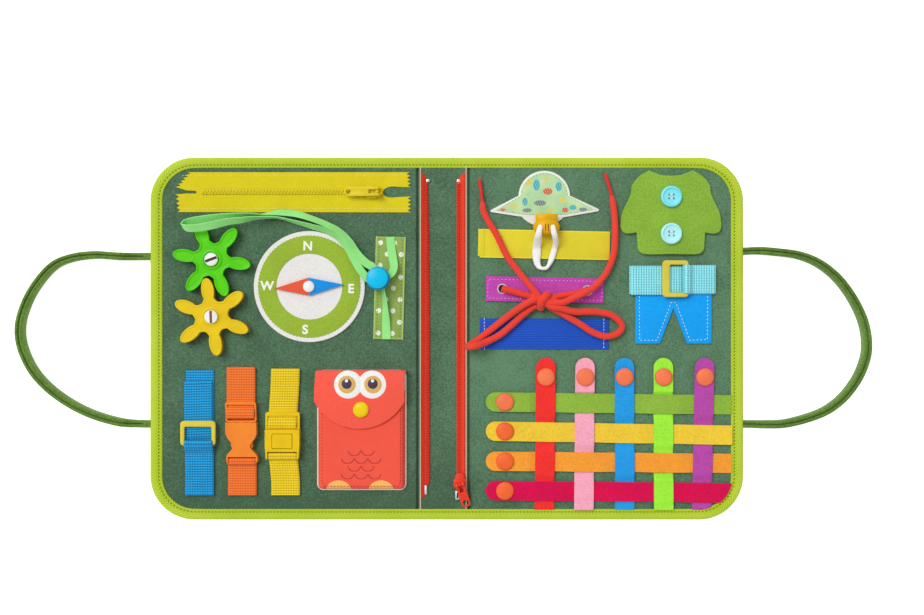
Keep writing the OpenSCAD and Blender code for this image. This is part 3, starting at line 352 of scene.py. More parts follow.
def paint(piece, finish, angle=40):
    """Gives the piece its finish and smooth faces between its edges."""
    piece.data.materials.clear()
    piece.data.materials.append(finish.material)
    alone(piece)
    bpy.ops.object.shade_smooth_by_angle(angle=radians(angle))
    return piece


def modify(piece, kind, **settings):
    """Adds a modifier and applies it."""
    alone(piece)
    modifier = piece.modifiers.new(kind.title(), kind)
    for setting, value in settings.items():
        setattr(modifier, setting, value)
    bpy.ops.object.modifier_apply(modifier=modifier.name)
    return piece


def soften(piece, width, segments=2, angle=35):
    """Rounds the sharp edges by a width in mm."""
    return modify(
        piece, "BEVEL", width=width * MM, segments=segments, limit_method="ANGLE",
        angle_limit=radians(angle), use_clamp_overlap=True,
    )


def lengths(line):
    """How far along the line each point lies."""
    run = [0.0]
    for a, b in zip(line, line[1:]):
        run.append(run[-1] + (Vector(b) - Vector(a)).length)
    return run


def net(name, rows, finish, angle=40):
    """A skin through rows of points in mm. Each row is a closed ring, and the two ends are capped."""
    across, down = len(rows[0]) - 1, len(rows) - 1
    deselect()
    bpy.ops.mesh.primitive_grid_add(x_subdivisions=across, y_subdivisions=down, size=1, calc_uvs=True)
    piece = bpy.context.object
    piece.name = name
    mesh = piece.data
    mesh.vertices.foreach_set("co", [c * MM for row in rows for point in row for c in point])
    middle = rows[len(rows) // 2]
    us, vs = lengths(middle), lengths([row[0] for row in rows])
    spots = []
    for loop in mesh.loops:
        column, row = loop.vertex_index % (across + 1), loop.vertex_index // (across + 1)
        spots += (us[column], vs[row])
    mesh.uv_layers[0].name = "UVMap"
    mesh.uv_layers[0].data.foreach_set("uv", spots)
    edit(piece, merge, cap_ends, outwards)
    return paint(piece, finish, angle)


def smooth_line(points, step=1.0):
    """A smooth curve through the points, with about one point per step."""
    knots = [Vector(p) for p in points]
    knots = [2 * knots[0] - knots[1]] + knots + [2 * knots[-1] - knots[-2]]
    line = []
    for a, b, c, d in zip(knots, knots[1:], knots[2:], knots[3:]):
        count = max(1, round((c - b).length / step))
        for k in range(count):
            t = k / count
            bend = 2 * a - 5 * b + 4 * c - d
            twist = 3 * b - a - 3 * c + d
            line.append(0.5 * (2 * b + (c - a) * t + bend * t * t + twist * t ** 3))
    return line + [knots[-2]]


def cross_sections(line, section, side=None, rolls=None):
    """Rows of points: the section, as (sideways, upwards), at each point of the line.

    Rolls are the angles by which the section is turned there.
    """
    rows, last = [], Vector((0, 1, 0))
    run = lengths(line)
    for k, point in enumerate(line):
        heading = (Vector(line[min(k + 1, len(line) - 1)]) - Vector(line[max(k - 1, 0)])).normalized()
        sideways = Vector(side) if side else Vector((0, 0, 1)).cross(heading)
        last = sideways = sideways.normalized() if sideways.length > 0.05 else last
        upwards = heading.cross(sideways).normalized()
        outline = section(run[k], run[-1]) if callable(section) else section
        if rolls:
            c, d = cos(rolls[k]), sin(rolls[k])
            outline = [(a * c - b * d, a * d + b * c) for a, b in outline]
        rows.append([Vector(point) + sideways * a + upwards * b for a, b in outline + outline[:1]])
    return rows


def sweep(name, line, section, finish, side=None, angle=40, rolls=None):
    """A piece with this section all along the line."""
    return net(name, cross_sections(line, section, side, rolls), finish, angle=angle)


def round_section(width, height, count=14):
    """An oval section."""
    return [
        (width / 2 * cos(2 * pi * k / count), height / 2 * sin(2 * pi * k / count)) for k in range(count)
    ]


def web_section(width, thick, edge=0.4):
    """A flat strap's section with soft edges, from the right end of its underside round to the left."""
    w, t = width / 2, thick / 2
    half = [(w - edge, -t), (w - 0.12 * edge, -t * 0.55), (w, 0), (w - 0.12 * edge, t * 0.55), (w - edge, t)]
    top = [(w * (1 - k / 4), t) for k in range(1, 8)]
    back = [(-a, -b) for a, b in half]
    return half + top + back + [(-a, -b) for a, b in top]


def arc(x, y, radius, start, end, count):
    """Points on an arc, with its angles in degrees."""
    angles = [radians(start + (end - start) * k / count) for k in range(count + 1)]
    return [(x + radius * cos(a), y + radius * sin(a)) for a in angles]


def turned(points, angle, x=0.0, y=0.0):
    """Flat points turned about the origin by an angle in degrees and then moved."""
    c, s = cos(radians(angle)), sin(radians(angle))
    return [(x + p[0] * c - p[1] * s, y + p[0] * s + p[1] * c) for p in points]


def rectangle(x0, y0, x1, y1, radius=0.5, count=4):
    """The outline of a rectangle with round corners."""
    corners = ((x1, y0, -90, -1, 1), (x1, y1, 0, -1, -1), (x0, y1, 90, 1, -1), (x0, y0, 180, 1, 1))
    outline = []
    for x, y, start, a, b in corners:
        outline += arc(x + a * radius, y + b * radius, radius, start, start + 90, count)
    return outline


def plate(name, outline, low, high, finish, edge=0.3, segments=2):
    """A flat piece of this outline, from one level up to another, with soft edges."""
    deselect()
    bpy.ops.mesh.primitive_circle_add(vertices=len(outline), fill_type="NGON")
    piece = bpy.context.object
    piece.name = name
    piece.data.vertices.foreach_set("co", [c * MM for x, y in outline for c in (x, y, low)])

    def lift():
        rise = {"value": (0, 0, (high - low) * MM)}
        bpy.ops.mesh.extrude_region_move(TRANSFORM_OT_translate=rise)

    edit(piece, lift, outwards)
    if edge:
        soften(piece, edge, segments)
    return paint(piece, finish)


def turned_part(name, profile, x, y, finish, count=40, angle=40):
    """A round piece from its profile, as (radius, level) from the bottom up."""
    rows = []
    for radius, z in profile:
        rows.append([(x + radius * cos(2 * pi * k / count), y + radius * sin(2 * pi * k / count), z)
                     for k in range(count + 1)])
    return net(name, rows, finish, angle=angle)


def moulded(name, node, finish, edge=0.3):
    """A copy of a solid with its edges rounded as a mould leaves them."""
    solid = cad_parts[node]
    piece = bpy.data.objects.new(name, solid.data.copy())
    piece.data.transform(solid.matrix_world)
    scene.collection.objects.link(piece)
    edit(piece, merge, flatten)
    if edge:
        soften(piece, edge)
    return paint(piece, finish, 45)


def copies(name, pattern, places):
    """One piece of many copies of a pattern, at places given as (x, y, z, heading)."""
    made = []
    for x, y, z, heading in places:
        copy = pattern.copy()
        copy.data = pattern.data.copy()
        copy.data.transform(Matrix.Translation(Vector((x, y, z)) * MM) @ Matrix.Rotation(heading, 4, "Z"))
        scene.collection.objects.link(copy)
        made.append(copy)
    bpy.data.objects.remove(pattern)
    alone(made[0])
    for copy in made:
        copy.select_set(True)
    bpy.ops.object.join()
    made[0].name = name
    return made[0]


def bead(length, width, height, finish):
    """A long rounded bead at the origin: a stitch or a tooth."""
    deselect()
    bpy.ops.mesh.primitive_uv_sphere_add(segments=8, ring_count=5, radius=0.5 * MM)
    piece = bpy.context.object
    piece.data.transform(Matrix.Diagonal((length, width, height, 1)))
    stretch = 0.12 * length * MM
    for vertex in piece.data.vertices:
        if abs(vertex.co.x) > 1e-6:
            vertex.co.x += copysign(stretch, vertex.co.x)
    return paint(piece, finish, 80)


def along_line(line, pitch, z):
    """Even places along a flat line, with their headings."""
    run = lengths([(p[0], p[1], 0) for p in line])
    count = max(1, round(run[-1] / pitch))
    places, k = [], 0
    for n in range(count):
        spot = (n + 0.5) * run[-1] / count
        while run[k + 1] < spot:
            k += 1
        t = (spot - run[k]) / (run[k + 1] - run[k])
        (ax, ay), (bx, by) = line[k][:2], line[k + 1][:2]
        places.append((ax + (bx - ax) * t, ay + (by - ay) * t, z, atan2(by - ay, bx - ax)))
    return places


def stitches(name, lines, pitch, z, finish, length=1.5, width=0.5):
    """A seam of separate stitches along flat lines."""
    places = [place for line in lines for place in along_line(line, pitch, z)]
    return copies(name, bead(length * 0.8, width, 0.5, finish), places)


def carved(piece, *cutters):
    """Cuts other pieces out of one, and removes them."""
    for cutter in cutters:
        modify(piece, "BOOLEAN", operation="DIFFERENCE", solver="EXACT", object=cutter)
        bpy.data.objects.remove(cutter)
    return piece


def rides(piece, body, slot, *nodes):
    """Puts the piece on a body in place of the nodes, which it hides; the slot is not used."""
    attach(piece, body)
    if nodes:
        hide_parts(*nodes)
    return piece


def when(condition, node):
    """The node as a list, or none."""
    return [node] if condition else []


def moving(name, node, finish, slot, edge):
    """A solid that moves on the body of its own name, with its edges rounded."""
    return rides(moulded(name, node, finish, edge), node, slot, node)


def inside(outline, distance):
    """The outline drawn in by a distance."""
    drawn = []
    for k, (x, y) in enumerate(outline):
        ax, ay = outline[k - 1]
        bx, by = outline[(k + 1) % len(outline)]
        first, second = Vector((x - ax, y - ay)), Vector((bx - x, by - y))
        if first.length < 1e-6 or second.length < 1e-6:
            continue
        first.normalize()
        second.normalize()
        inward = Vector((-first.y - second.y, first.x + second.x))
        inward.normalize()
        share = max(0.45, inward.dot(Vector((-second.y, second.x))))
        drawn.append((x + inward.x * distance / share, y + inward.y * distance / share))
    return drawn


def between(x, low, high, a, b):
    """a below low, b above high and a straight change between them."""
    return a + (b - a) * min(1.0, max(0.0, (x - low) / (high - low)))


def metres(points):
    """The points, given in mm, in metres."""
    return [tuple(c * MM for c in p) for p in points]


# Sizes of the book, in mm
PAGE = 4.8
COVER_W = {-1: 205.4, 1: 210.2}
HALF_H, CORNER = 127.0, 31.0
WINDOW_W, WINDOW_H, WINDOW_R = 201.4, 119.3, 22.5
HINGE_W = 208.0
ZIP_Y = 102.4
# Levels over which the painted shade on a gear's sides fades out.
GEAR_WALL_SHADE = 10.4, 11.6
SIDES = (("left", -1), ("right", 1))

# Camera, straight above the open book
CAMERA_X, CAMERA_Y, CAMERA_Z = 13.09, 21.7, 800.0
VIEW_W, SENSOR_W = 646.8, 36
view = bpy.data.cameras.new("camera")
camera = bpy.data.objects.new("camera", view)
scene.collection.objects.link(camera)
camera.location = (CAMERA_X * MM, CAMERA_Y * MM, CAMERA_Z * MM)
view.sensor_width = SENSOR_W
view.lens = SENSOR_W * (CAMERA_Z - PAGE) / VIEW_W
scene.camera = camera

# Cords: the lace, the ribbon and the toggle's elastic
lace_red = braid("lace_red", rgb(238, 60, 42))
tip_red = plastic("lace_tip_red", rgb(214, 52, 46), 0.4)
ribbon_green = satin("ribbon_green", rgb(146, 230, 130))
loop_white = braid("loop_white", rgb(247, 247, 243), 1.2, 0.08)
LACE, TIP = 4.5, 17.0
KNOT = Vector((69.6, 26.4, 4.8))
lace_routes = {
    "left_tail": [
        (-2.2, 2, 7.2), (-6.2, 6.8, 7), (-14.6, 17, 5.4), (-25, 30.8, 4.2), (-32.6, 46.2, 4),
        (-38.5, 56, 3.2), (-41.6, 63, 2.8), (-42.4, 70, 2.7), (-43.4, 78, 2.7), (-44.4, 85, 2.7)],
    "right_tail": [
        (2.6, -1.2, 7.6), (7.6, -1.4, 8.4), (14.2, -.8, 9), (22.8, 3, 9.5), (29, 6, 9.7), (36.4, 10.6, 7.6),
        (44.2, 20, 4.4), (49, 32, 3.9), (50.2, 45, 3.9), (49.8, 59, 3), (48.2, 71.5, 2.7), (46, 80, 2.7),
        (43.4, 88.6, 2.7)],
    "left_bow": [
        (-3, 1.4, 7.4), (-7.6, .2, 8.2), (-13.6, -2.9, 7.8), (-23.5, -9.9, 5.6), (-37.3, -20.8, 4.3),
        (-44, -26, 4.2), (-48.6, -29.2, 4.3), (-51.3, -30.9, 4.9), (-53, -31.8, 7.6), (-51.5, -31.9, 10.6),
        (-48.6, -31.5, 11.4), (-45, -30.7, 10.2), (-40.4, -28.9, 7.2), (-30.2, -23.8, 4.8), (-22, -17, 4.1),
        (-14, -9.7, 4.1), (-8, -5, 4.2), (-5, -3.4, 4.3)],
    "right_bow": [
        (2.6, -2.4, 7.2), (6.6, -4.4, 7.9), (12.6, -5.4, 8), (22, -7.6, 6.8), (35, -7.6, 5.4),
        (46, -9.4, 4.6), (53, -14, 4), (54.8, -18.8, 3.8), (51, -23.2, 3.8), (43, -24.8, 4.2),
        (34, -21.6, 4.2), (25, -15.8, 4.1), (14, -9.4, 4), (7, -5.6, 4.4), (3, -3, 5)],
    "left_run": [(-28.7, 8.6, 4.7), (-20, 6.2, 4.2), (-13, 4.2, 4), (-7.6, 2.6, 4.4), (-3.2, 1.2, 5.6)],
    "right_run": [(30.7, 7.4, 4.7), (22.4, 5, 4.2), (14, 3.6, 4), (7.8, 2.4, 4.8), (3, 1, 6.2)],
}
knot_route = [
    (-1.6, -5.2, 5.6), (-2.2, -3, 8.2), (-1.2, 0.2, 9.9), (0.8, 2.6, 10), (2.5, 4.2, 8.6), (3, 4.7, 6.4),
]
crossing_route = [(-8.5, 2.6, 5.4), (-5, 1.6, 6.4), (0, 0, 6.8), (5, -1.4, 6.4), (8.5, -1.4, 5.4)]


def from_knot(points):
    """A smooth line through points that are given from the knot."""
    return smooth_line([KNOT + Vector(p) for p in points], 0.8)


def tail_section(s, total):
    """The lace slims down into its tip."""
    size = min(LACE, 2.7 + (total - s) * 0.42)
    return round_section(size, size)


def tip_section(s, total):
    """The hard tip, with its end rounded off."""
    size = 2.6 if s < total - 0.7 else 2.0
    return round_section(size, size, 12)


lace_pieces = {}
for part, points in lace_routes.items():
    line = from_knot(points)
    run = lengths(line)
    if part.endswith("tail"):
        tip_line = [p for p, s in zip(line, run) if s > run[-1] - TIP]
        line = [p for p, s in zip(line, run) if s <= run[-1] - TIP + 1.5]
        lace = sweep("lace_" + part, line, tail_section, lace_red, angle=80)
        tip = sweep("lace_tip_" + part, tip_line, tip_section, tip_red, angle=60)
        rides(tip, "right_half", "lace_red")
    else:
        tip = None
        lace = sweep("lace_" + part, line, round_section(LACE * 1.04, LACE * 0.96), lace_red, angle=80)
    lace_pieces[part] = (lace, line, tip)
knot = sweep("lace_knot", from_knot(knot_route), round_section(5.2, 4.8), lace_red, angle=80)
crossing = sweep("lace_knot_crossing", from_knot(crossing_route), round_section(7.6, 6.0), lace_red, angle=80)
rides(knot, "right_half", "lace_red", "shoelace")
rides(crossing, "right_half", "lace_red")
for part, (lace, line, tip) in lace_pieces.items():
    if part == "left_bow":
        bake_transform(lace)
    else:
        rides(lace, "right_half", "lace_red")
    if not part.endswith("run"):
        path = metres(line)
        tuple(path[0])
        lengths(path)[-1]
        [tip] if tip else [knot, crossing] if part == "left_bow" else []

ribbon_route = smooth_line([
    (-37, 71, 6.55, 0), (-36.4, 64, 6.6, 0), (-35.2, 56, 7.4, .1), (-34.3, 50, 9.6, .3), (-36, 45.4, 11, .5),
    (-40.4, 43.5, 11.6, .4), (-44.2, 44.3, 12, .3),
    (-46.5, 46.5, 12.2, .3), (-49.5, 50.2, 12.2, .35), (-53.4, 52.6, 12, .4), (-59.4, 58.6, 11.5, .45),
    (-65.6, 68, 11, .7), (-72.5, 74.9, 10.5, .84), (-80.8, 79.3, 10.2, .84), (-90.5, 83.2, 10, .84),
    (-101.6, 86.6, 9.8, .72), (-112.7, 87.8, 9.6, .75), (-119.1, 87.4, 9.4, 1.05), (-126.6, 86.6, 9.8, 1.45),
    (-132.2, 86.2, 10.8, 1.8), (-139.9, 85.5, 12.6, 2.12), (-152.1, 84.4, 14.4, 2.38),
    (-161.3, 83.3, 14.7, 2.48),
    (-169.8, 82.1, 14.8, 2.53), (-174.9, 81, 15, 2.5), (-178.6, 79.9, 15.8, 2.2), (-179.8, 78.3, 17, 1.57),
    (-178, 76.8, 18.3, .95), (-174.2, 76.1, 19.1, .66), (-168.8, 76.4, 19.3, .6), (-160.3, 77.9, 19, .5),
    (-148.1, 80.8, 17.4, .75), (-139.4, 82, 15.2, .9), (-131.8, 83.5, 12.8, 1.25), (-120.7, 84.4, 10.4, 1.42),
    (-112.8, 83.8, 9.3, 1.42), (-101.6, 80.8, 8.8, 1.2), (-90.5, 77.8, 9, 1), (-80.8, 75, 9.2, .9),
    (-72.5, 70.2, 9.6, .8), (-66.3, 62.6, 10.2, .6), (-61.5, 54.4, 10.8, .45), (-57.3, 47.4, 11, .4),
    (-53.2, 42.6, 11, .35), (-50.4, 41, 11, .4), (-47, 40, 10.8, .6), (-44, 38.2, 10.8, .9),
    (-42.2, 35, 10.6, 1.15), (-41, 29, 9.8, 1.1), (-40.3, 20, 8.6, .8), (-39.9, 10, 6.9, .25),
    (-39.6, -.4, 6.5, 0)], 1.0)


def sewn_cord(line):
    """Works out a cord's line in metres, its first point and its length, and keeps none of them."""
    path = metres(line)
    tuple(path[0])
    lengths(path)[-1]


line = [p.to_3d() for p in ribbon_route]
rolls = [p.w for p in ribbon_route]
ribbon = sweep("ribbon_piece", line, web_section(6.0, 0.7, 0.2), ribbon_green, angle=60, rolls=rolls)
rides(ribbon, "left_half", "ribbon_green", "ribbon_loop")
sewn_cord(line)

loop_line = smooth_line([
    (67.2, 78.0, 15.6), (66.9, 76.9, 17.9), (66.3, 74.7, 18.0), (65.8, 71.5, 16.6), (65.5, 68.0, 12.5),
    (65.3, 63.6, 8.0), (65.2, 59.0, 7.3), (65.2, 55.2, 7.0), (65.8, 52.3, 6.6), (66.9, 50.1, 6.8),
    (68.8, 49.0, 7), (70.7, 48.9, 7), (72.4, 49.6, 6.8), (74.0, 51.8, 6.6), (75.3, 54.9, 7.0),
    (76.6, 59.0, 7.3), (77.8, 63.3, 8.0), (78.1, 67.1, 11.8), (77.3, 70.6, 16.2), (76.3, 73.8, 17.9),
    (75.8, 76.9, 17.9), (75.8, 78.1, 15.6)], 0.8)
LOOP_WIDTHS = (
    (0, 2.8), (.08, 4.2), (.2, 5.6), (.32, 6.2), (.42, 4.6), (.48, 2.6), (.55, 2.6), (.63, 4.4), (.75, 3.8),
    (.92, 4.0), (1, 2.8),
)
LOOP_HEIGHTS = (.38, 2.3), (.48, 3.6), (.55, 3.6), (.65, 2.3)


def read_off(x, table):
    """A value read off a table of (x, value) pairs."""
    for (a, low), (b, high) in zip(table, table[1:]):
        if x <= b:
            return low + (high - low) * max(0.0, (x - a) / (b - a))
    return table[-1][1]


def loop_section(s, total):
    """Flat elastic that turns on its edge at the bottom of the loop."""
    return round_section(read_off(s / total, LOOP_WIDTHS), read_off(s / total, LOOP_HEIGHTS), 16)


elastic_loop = sweep("toggle_loop_piece", loop_line, loop_section, loop_white, angle=80)
rides(elastic_loop, "right_half", "elastic_white", "toggle_loop")
sewn_cord(loop_line)

# Felt of the spine and the covers


def page_painted_light(f):
    """Painted light and shade: lighter on the right page and round a spot on it, and painted shade at the
    spine and along the lower edge.
    """
    x, y, _ = f.axes(f.place())
    away = ((x - 45) * (x - 45) + (y + 24) * (y + 24)) ** 0.5
    spine = 1 - abs(x).rise(8, 17)
    lower = 1 - y.rise(-125, -70)
    return x.rise(-60, 60) * 0.36 - lower * 0.32 - spine * 0.13 + (1 - away.rise(8, 62)) * 0.2 - 0.12


# The pages' felt carries painted light and shade.
page_felt = felt("felt_green", rgb(86, 120, 92), 1.0, page_painted_light)


def half_height(x, inset, side):
    """Half the cover's height at this distance from the spine's middle."""
    centre = COVER_W[side] - CORNER
    reach = max(0.0, min(x - centre, CORNER - inset))
    return HALF_H - CORNER + sqrt((CORNER - inset) ** 2 - reach ** 2)


def page_level(x, y):
    """The felt's top: a groove at the fold, and slow waves."""
    groove = 2.5 * 2.718 ** (-((x - 18.0) / 0.75) ** 2)
    swell = 0.07 * sin(x / 17.0 + 1.3 * sin(y / 31.0)) + 0.06 * sin(y / 19.0 + x / 43.0)
    return PAGE - 0.05 + swell - groove


def felt_half(name, side):
    """Half of the book's felt, from the spine's middle to the outer edge, with more rows at the fold."""
    corner = COVER_W[side] - CORNER
    stops = [0, 5, 10, 14] + [15.6 + 0.35 * k for k in range(16)]
    stops += [22 + (corner - 22) * k / 25 for k in range(25)]
    stops += [corner + (CORNER - 0.9) * sin(radians(5 * k)) for k in range(19)]
    ups = [-1 + k / 32 for k in range(65)]
    rows = []
    for x in stops:
        h = half_height(x, 0.9, side)
        top = [(side * x, h * t, page_level(x, h * t)) for t in ups]
        under = [(side * x, -h * t, 0.8) for t in ups]
        rows.append(top + under + top[:1])
    return net(name, rows, page_felt, angle=60)


for name, side in SIDES:
    body = name + "_half"
    sheet = felt_half(name + "_felt", side)
    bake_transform(sheet)
    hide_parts(name + "_cover", name + "_page", *when(side < 0, "spine_panel"))

# Binding, folded over the felt's edge
binding_lime = edging("binding_lime")
binding_profile = [
    (-8.5, 4.95), (-8.3, 5.35), (-7.4, 5.5), (-6.4, 5.35), (-5.4, 5.55), (-3.6, 5.62), (-1.8, 5.5),
    (-.7, 4.95), (-.1, 4), (0, 2.8), (-.1, 1.6), (-.7, .6), (-1.8, .1), (-4.5, 0), (-8.3, 0), (-8.5, .4),
    (-8.2, .75), (-1.6, .8), (-.95, 1.4), (-.9, 2.8), (-.95, 4.2), (-1.6, 4.75), (-8.2, 4.8),
]


def binding_section(s, total):
    """The tape lies wider along the sides than at the top and the bottom."""
    width = between(min(s, total - s), 165, 225, 7.7, 8.9) / 8.5
    return [(a * width if a < -1.7 else a, b) for a, b in binding_profile]


for name, side in SIDES:
    body = name + "_half"
    corner = COVER_W[side] - CORNER
    straight = [0, 6, 12, 15] + [15.8 + 0.5 * k for k in range(12)]
    straight += [24 + (corner - 24) * k / 18 for k in range(18)]
    edge = [(x, HALF_H) for x in straight] + arc(corner, HALF_H - CORNER, CORNER, 90, 0, 26)
    line = edge + [(COVER_W[side], 90 - 9 * k) for k in range(21)] + [(x, -y) for x, y in reversed(edge)]
    line = [(side * x, y, 0) for x, y in line]
    tape = sweep(name + "_binding_tape", line[::side], binding_section, binding_lime, angle=60)
    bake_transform(tape)
    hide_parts(name + "_binding", *when(side < 0, "spine_binding"))

# Handles: a felt strip of two layers, standing on its edge
HANDLE_OUT = 88.0
handle_routes = {
    -1: [(0, 57.5), (18, 57.5), (35, 58.5), (51, 56.5), (64, 51), (75, 39), (83, 25), (87.5, 9), (86, -6),
         (79, -21.4), (69, -33.2), (57, -42.6), (44, -50), (30, -55.4), (15, -59), (0, -60)],
    1: [(0, 61), (11, 61.5), (24, 60.5), (38, 58.5), (50, 54), (60, 47), (68.5, 38), (76.5, 25.5), (82, 13),
        (84.5, 1), (84.5, -10), (81.5, -21), (76.5, -31), (68, -42), (57, -50.5), (43.5, -56), (29, -59.5),
        (16, -60), (0, -60)],
}


def handle_painted_light(f):
    """Painted shade: the right handle is made a little darker than the left one."""
    return f.axes(f.place())[0].rise(-150, 150) * -0.18


def handle_section(s, total):
    """Two layers with a groove between them, flat at the book and higher further out."""
    out = min(s, total - s)
    low, high = between(out, 0, 16, 0.9, 0), between(out, 5, 15, 4.7, 9.5)
    half = [(2.6, high - .9), (2.2, high - .2), (1.4, high), (.6, high - .2), (.25, high - 1.3)]
    half = [(2.6, low + .6)] + half
    under = [(-2.2, low), (-.4, low), (0, low + .8), (.4, low), (2.2, low)]
    return half + [(0, high - 1.8)] + [(-a, b) for a, b in reversed(half)] + under


# The handles' felt carries painted shade on the right handle.
handle_felt = felt("handle_felt", rgb(102, 138, 56), 1.0, handle_painted_light)
for name, side in SIDES:
    body = name + "_handle"
    route = handle_routes[side]
    reach = HANDLE_OUT / max(x for x, _ in route)
    line = smooth_line([(side * (HINGE_W + x * reach), y, 0) for x, y in route], 2.0)
    line = [p for p in line if abs(p.x) >= HINGE_W + 1]
    if side < 0:
        for end_name, end in (("upper", line[0]), ("lower", line[-1])):
            outline = rectangle(-210.2, end.y - 2.6, -204.4, end.y + 2.6, 0.6)
            root = plate(f"left_handle_root_{end_name}", outline, 1.0, 4.7, handle_felt, 0.5)
            rides(root, "left_half", "handle_felt")
    handle = sweep(body + "_strip", line, handle_section, handle_felt, angle=60)
    name + "_half"
    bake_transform(handle)
    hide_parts(body)

# Pocket zip
zip_yellow = twill("zip_yellow", rgb(224, 207, 18))
slider_yellow = plastic("slider_yellow", rgb(219, 198, 14), 0.4)
tooth_yellow = plastic("tooth_yellow", rgb(214, 196, 26), 0.5)
seam_pale = thread("seam_pale", rgb(240, 232, 150))


def pinked(start, end, depth):
    """A zigzag cut edge from one corner to another, its notches cut in by a depth along X."""
    (ax, ay), (bx, by) = start, end
    pitch = 2.9
    count = max(2, 2 * round(hypot(bx - ax, by - ay) / pitch))
    return [
        (ax + (bx - ax) * k / count + depth * (k % 2), ay + (by - ay) * k / count) for k in range(count + 1)
    ]


zip_outline = (
    pinked((-22.6, -14.2), (-22.6, -3.0), -2.3)
    + [(-30, -3.3), (-36, -3.8), (-39.5, -3.4), (-41.6, -1.9), (-42.2, 0)]
    + [(-41.4, 1.8), (-39.5, 3.1), (-36, 4.0), (-30, 3.6)]
    + pinked((-22.6, 3.4), (-23.4, 14), -2.3)
    + pinked((-178.6, 14), (-187.2, 3.6), 2.6)
    + [(-180, 1.2), (-173.4, 0.9), (-172.4, 0), (-173.4, -1.0), (-180, -0.9)]
    + pinked((-187.4, -1.6), (-186.2, -14), 2.4)
)
zip_tape = plate("pocket_tape", [(x, y + ZIP_Y) for x, y in zip_outline], PAGE, 5.4, zip_yellow, 0.15, 1)
rides(zip_tape, "left_half", "zip_yellow", "pocket_zip")
for name, y in (("pocket_rim_upper", 3.3), ("pocket_rim_lower", -3.3)):
    line = [(-171 + 3 * k, ZIP_Y + y, 5.1) for k in range(42)]
    rides(sweep(name, line, round_section(2.6, 0.8, 10), zip_yellow), "left_half", "zip_yellow")
bed_outline = rectangle(-169, ZIP_Y - 1.7, -48.4, ZIP_Y + 1.7, 0.4)
bed = plate("pocket_teeth_bed", bed_outline, 5.3, 5.95, tooth_yellow)
rides(bed, "left_half", "zip_yellow")
teeth = [(-168 + 1.15 * k, ZIP_Y + (0.75 if k % 2 else -0.75), 6.0, 0) for k in range(104)]
rides(copies("pocket_teeth", bead(1.05, 2.3, 0.9, tooth_yellow), teeth), "left_half", "zip_yellow")
seams = [[(-183, ZIP_Y + 11.6), (-26, ZIP_Y + 11.9)], [(-183, ZIP_Y - 11.7), (-26, ZIP_Y - 11.4)]]
rides(stitches("pocket_seam", seams, 1.9, 5.42, seam_pale, 1.1, 0.5), "left_half", "zip_yellow")
moving("pocket_slider_body", "pocket_slider", slider_yellow, "slider_yellow", 0.35)
moving("pocket_pull_tab", "pocket_pull", slider_yellow, "slider_yellow", 0.3)

# Spine zip: two halves, open
# The left half's tape gets painted shade: the same tape, made darker than the right half's.
zip_reds = {-1: twill("zip_red_left_shaded", rgb(206, 48, 26)), 1: twill("zip_red_right", rgb(236, 66, 42))}
tooth_red = plastic("tooth_red", rgb(234, 62, 40), 0.45)
slider_red = plastic("slider_red", rgb(232, 60, 38), 0.32)
piping_white = braid("piping_white", rgb(218, 188, 162), 1.0, 0.08)
nickel = metal("nickel", rgb(222, 222, 222))
seam_coral = thread("seam_coral", rgb(246, 120, 92))
# Painted shade: dark dots for the stitch holes of the right zip half.
stitch_hole_shade = thread("stitch_hole_shade", rgb(196, 40, 30))
# Painted shade: a dark piece put into slots, gaps and holes.
painted_shade_dark = plastic("painted_shade_dark", rgb(58, 50, 46), 0.5)
coil_edges = {
    -1: [(11, 111), (10.6, 104), (9.8, 60), (9.3, 20), (9.3, -101.4), (10.9, -102.2), (11.1, -109.4),
         (13.4, -110.8)],
    1: [(9.3, 110.4), (9.3, -110)],
}
for name, side in SIDES:
    outline = [(15.2, -111.5), (15.2, 116), (13.6, 115.4)] + coil_edges[side]
    outline = [(side * x, y) for x, y in outline][::-side]
    tape = plate(f"spine_tape_{name}", outline, PAGE, 5.4, zip_reds[side], 0.15, 1)
    rides(tape, "spine", "zip_red", *when(side < 0, "spine_zip"))
    lean = 1.2 if side < 0 else 0
    turns = [-101 + 1.1 * k for k in range(191)]
    coil = [(side * (10.6 + between(y, 20, 104, 0, lean)), y, 5.85, 0) for y in turns]
    rides(copies(f"spine_coil_{name}", bead(2.0, 0.75, 1.3, tooth_red), coil), "spine", "zip_red")
    line = [(side * 14.1, -110 + 4 * k, 5.4) for k in range(57)]
    rides(sweep(f"spine_rim_{name}", line, round_section(1.8, 0.8, 10), zip_reds[side]), "spine", "zip_red")
    line = [(side * 16.0, -119.5 + 4 * k, 5.2) for k in range(61)]
    rides(sweep(f"spine_piping_{name}", line, round_section(0.9, 0.9, 10), piping_white), "spine", "zip_red")
    seam = [[(side * 12.6, -104), (side * 12.6, 108)]]
    # The right half's seam is dark dots of painted shade in its stitch holes.
    seam_red = seam_coral if side < 0 else stitch_hole_shade
    rides(stitches(f"spine_seam_{name}", seam, 1.7, 5.5, seam_red, 0.9, 0.5), "spine", "zip_red")
    outline = rectangle(side * 10.7 - 1.1, 109.4, side * 10.7 + 1.1, 111.4, 0.4)
    stop = plate(f"spine_stop_{name}", outline, 5.2, 6.5 if side < 0 else 5.52, nickel, 0.1)
    rides(stop, "spine", "zip_red")
for name, corners, low, high, finish, edge in (
    ("spine_pin", (-13.1, -108.9, -11.3, -102.6, 0.5), 5.2, 6.8, nickel, 0.4),
    ("spine_box", (8.4, -112.4, 11.4, -106.2, 0.5), 5.2, 7.6, nickel, 0.4),
    # Painted shade: a dark plate in the gap of the box.
    ("spine_box_gap", (9.3, -111.4, 10.5, -107.4, 0.3), 7.4, 7.68, painted_shade_dark, 0),
):
    rides(plate(name, rectangle(*corners), low, high, finish, edge), "spine", "zip_red")
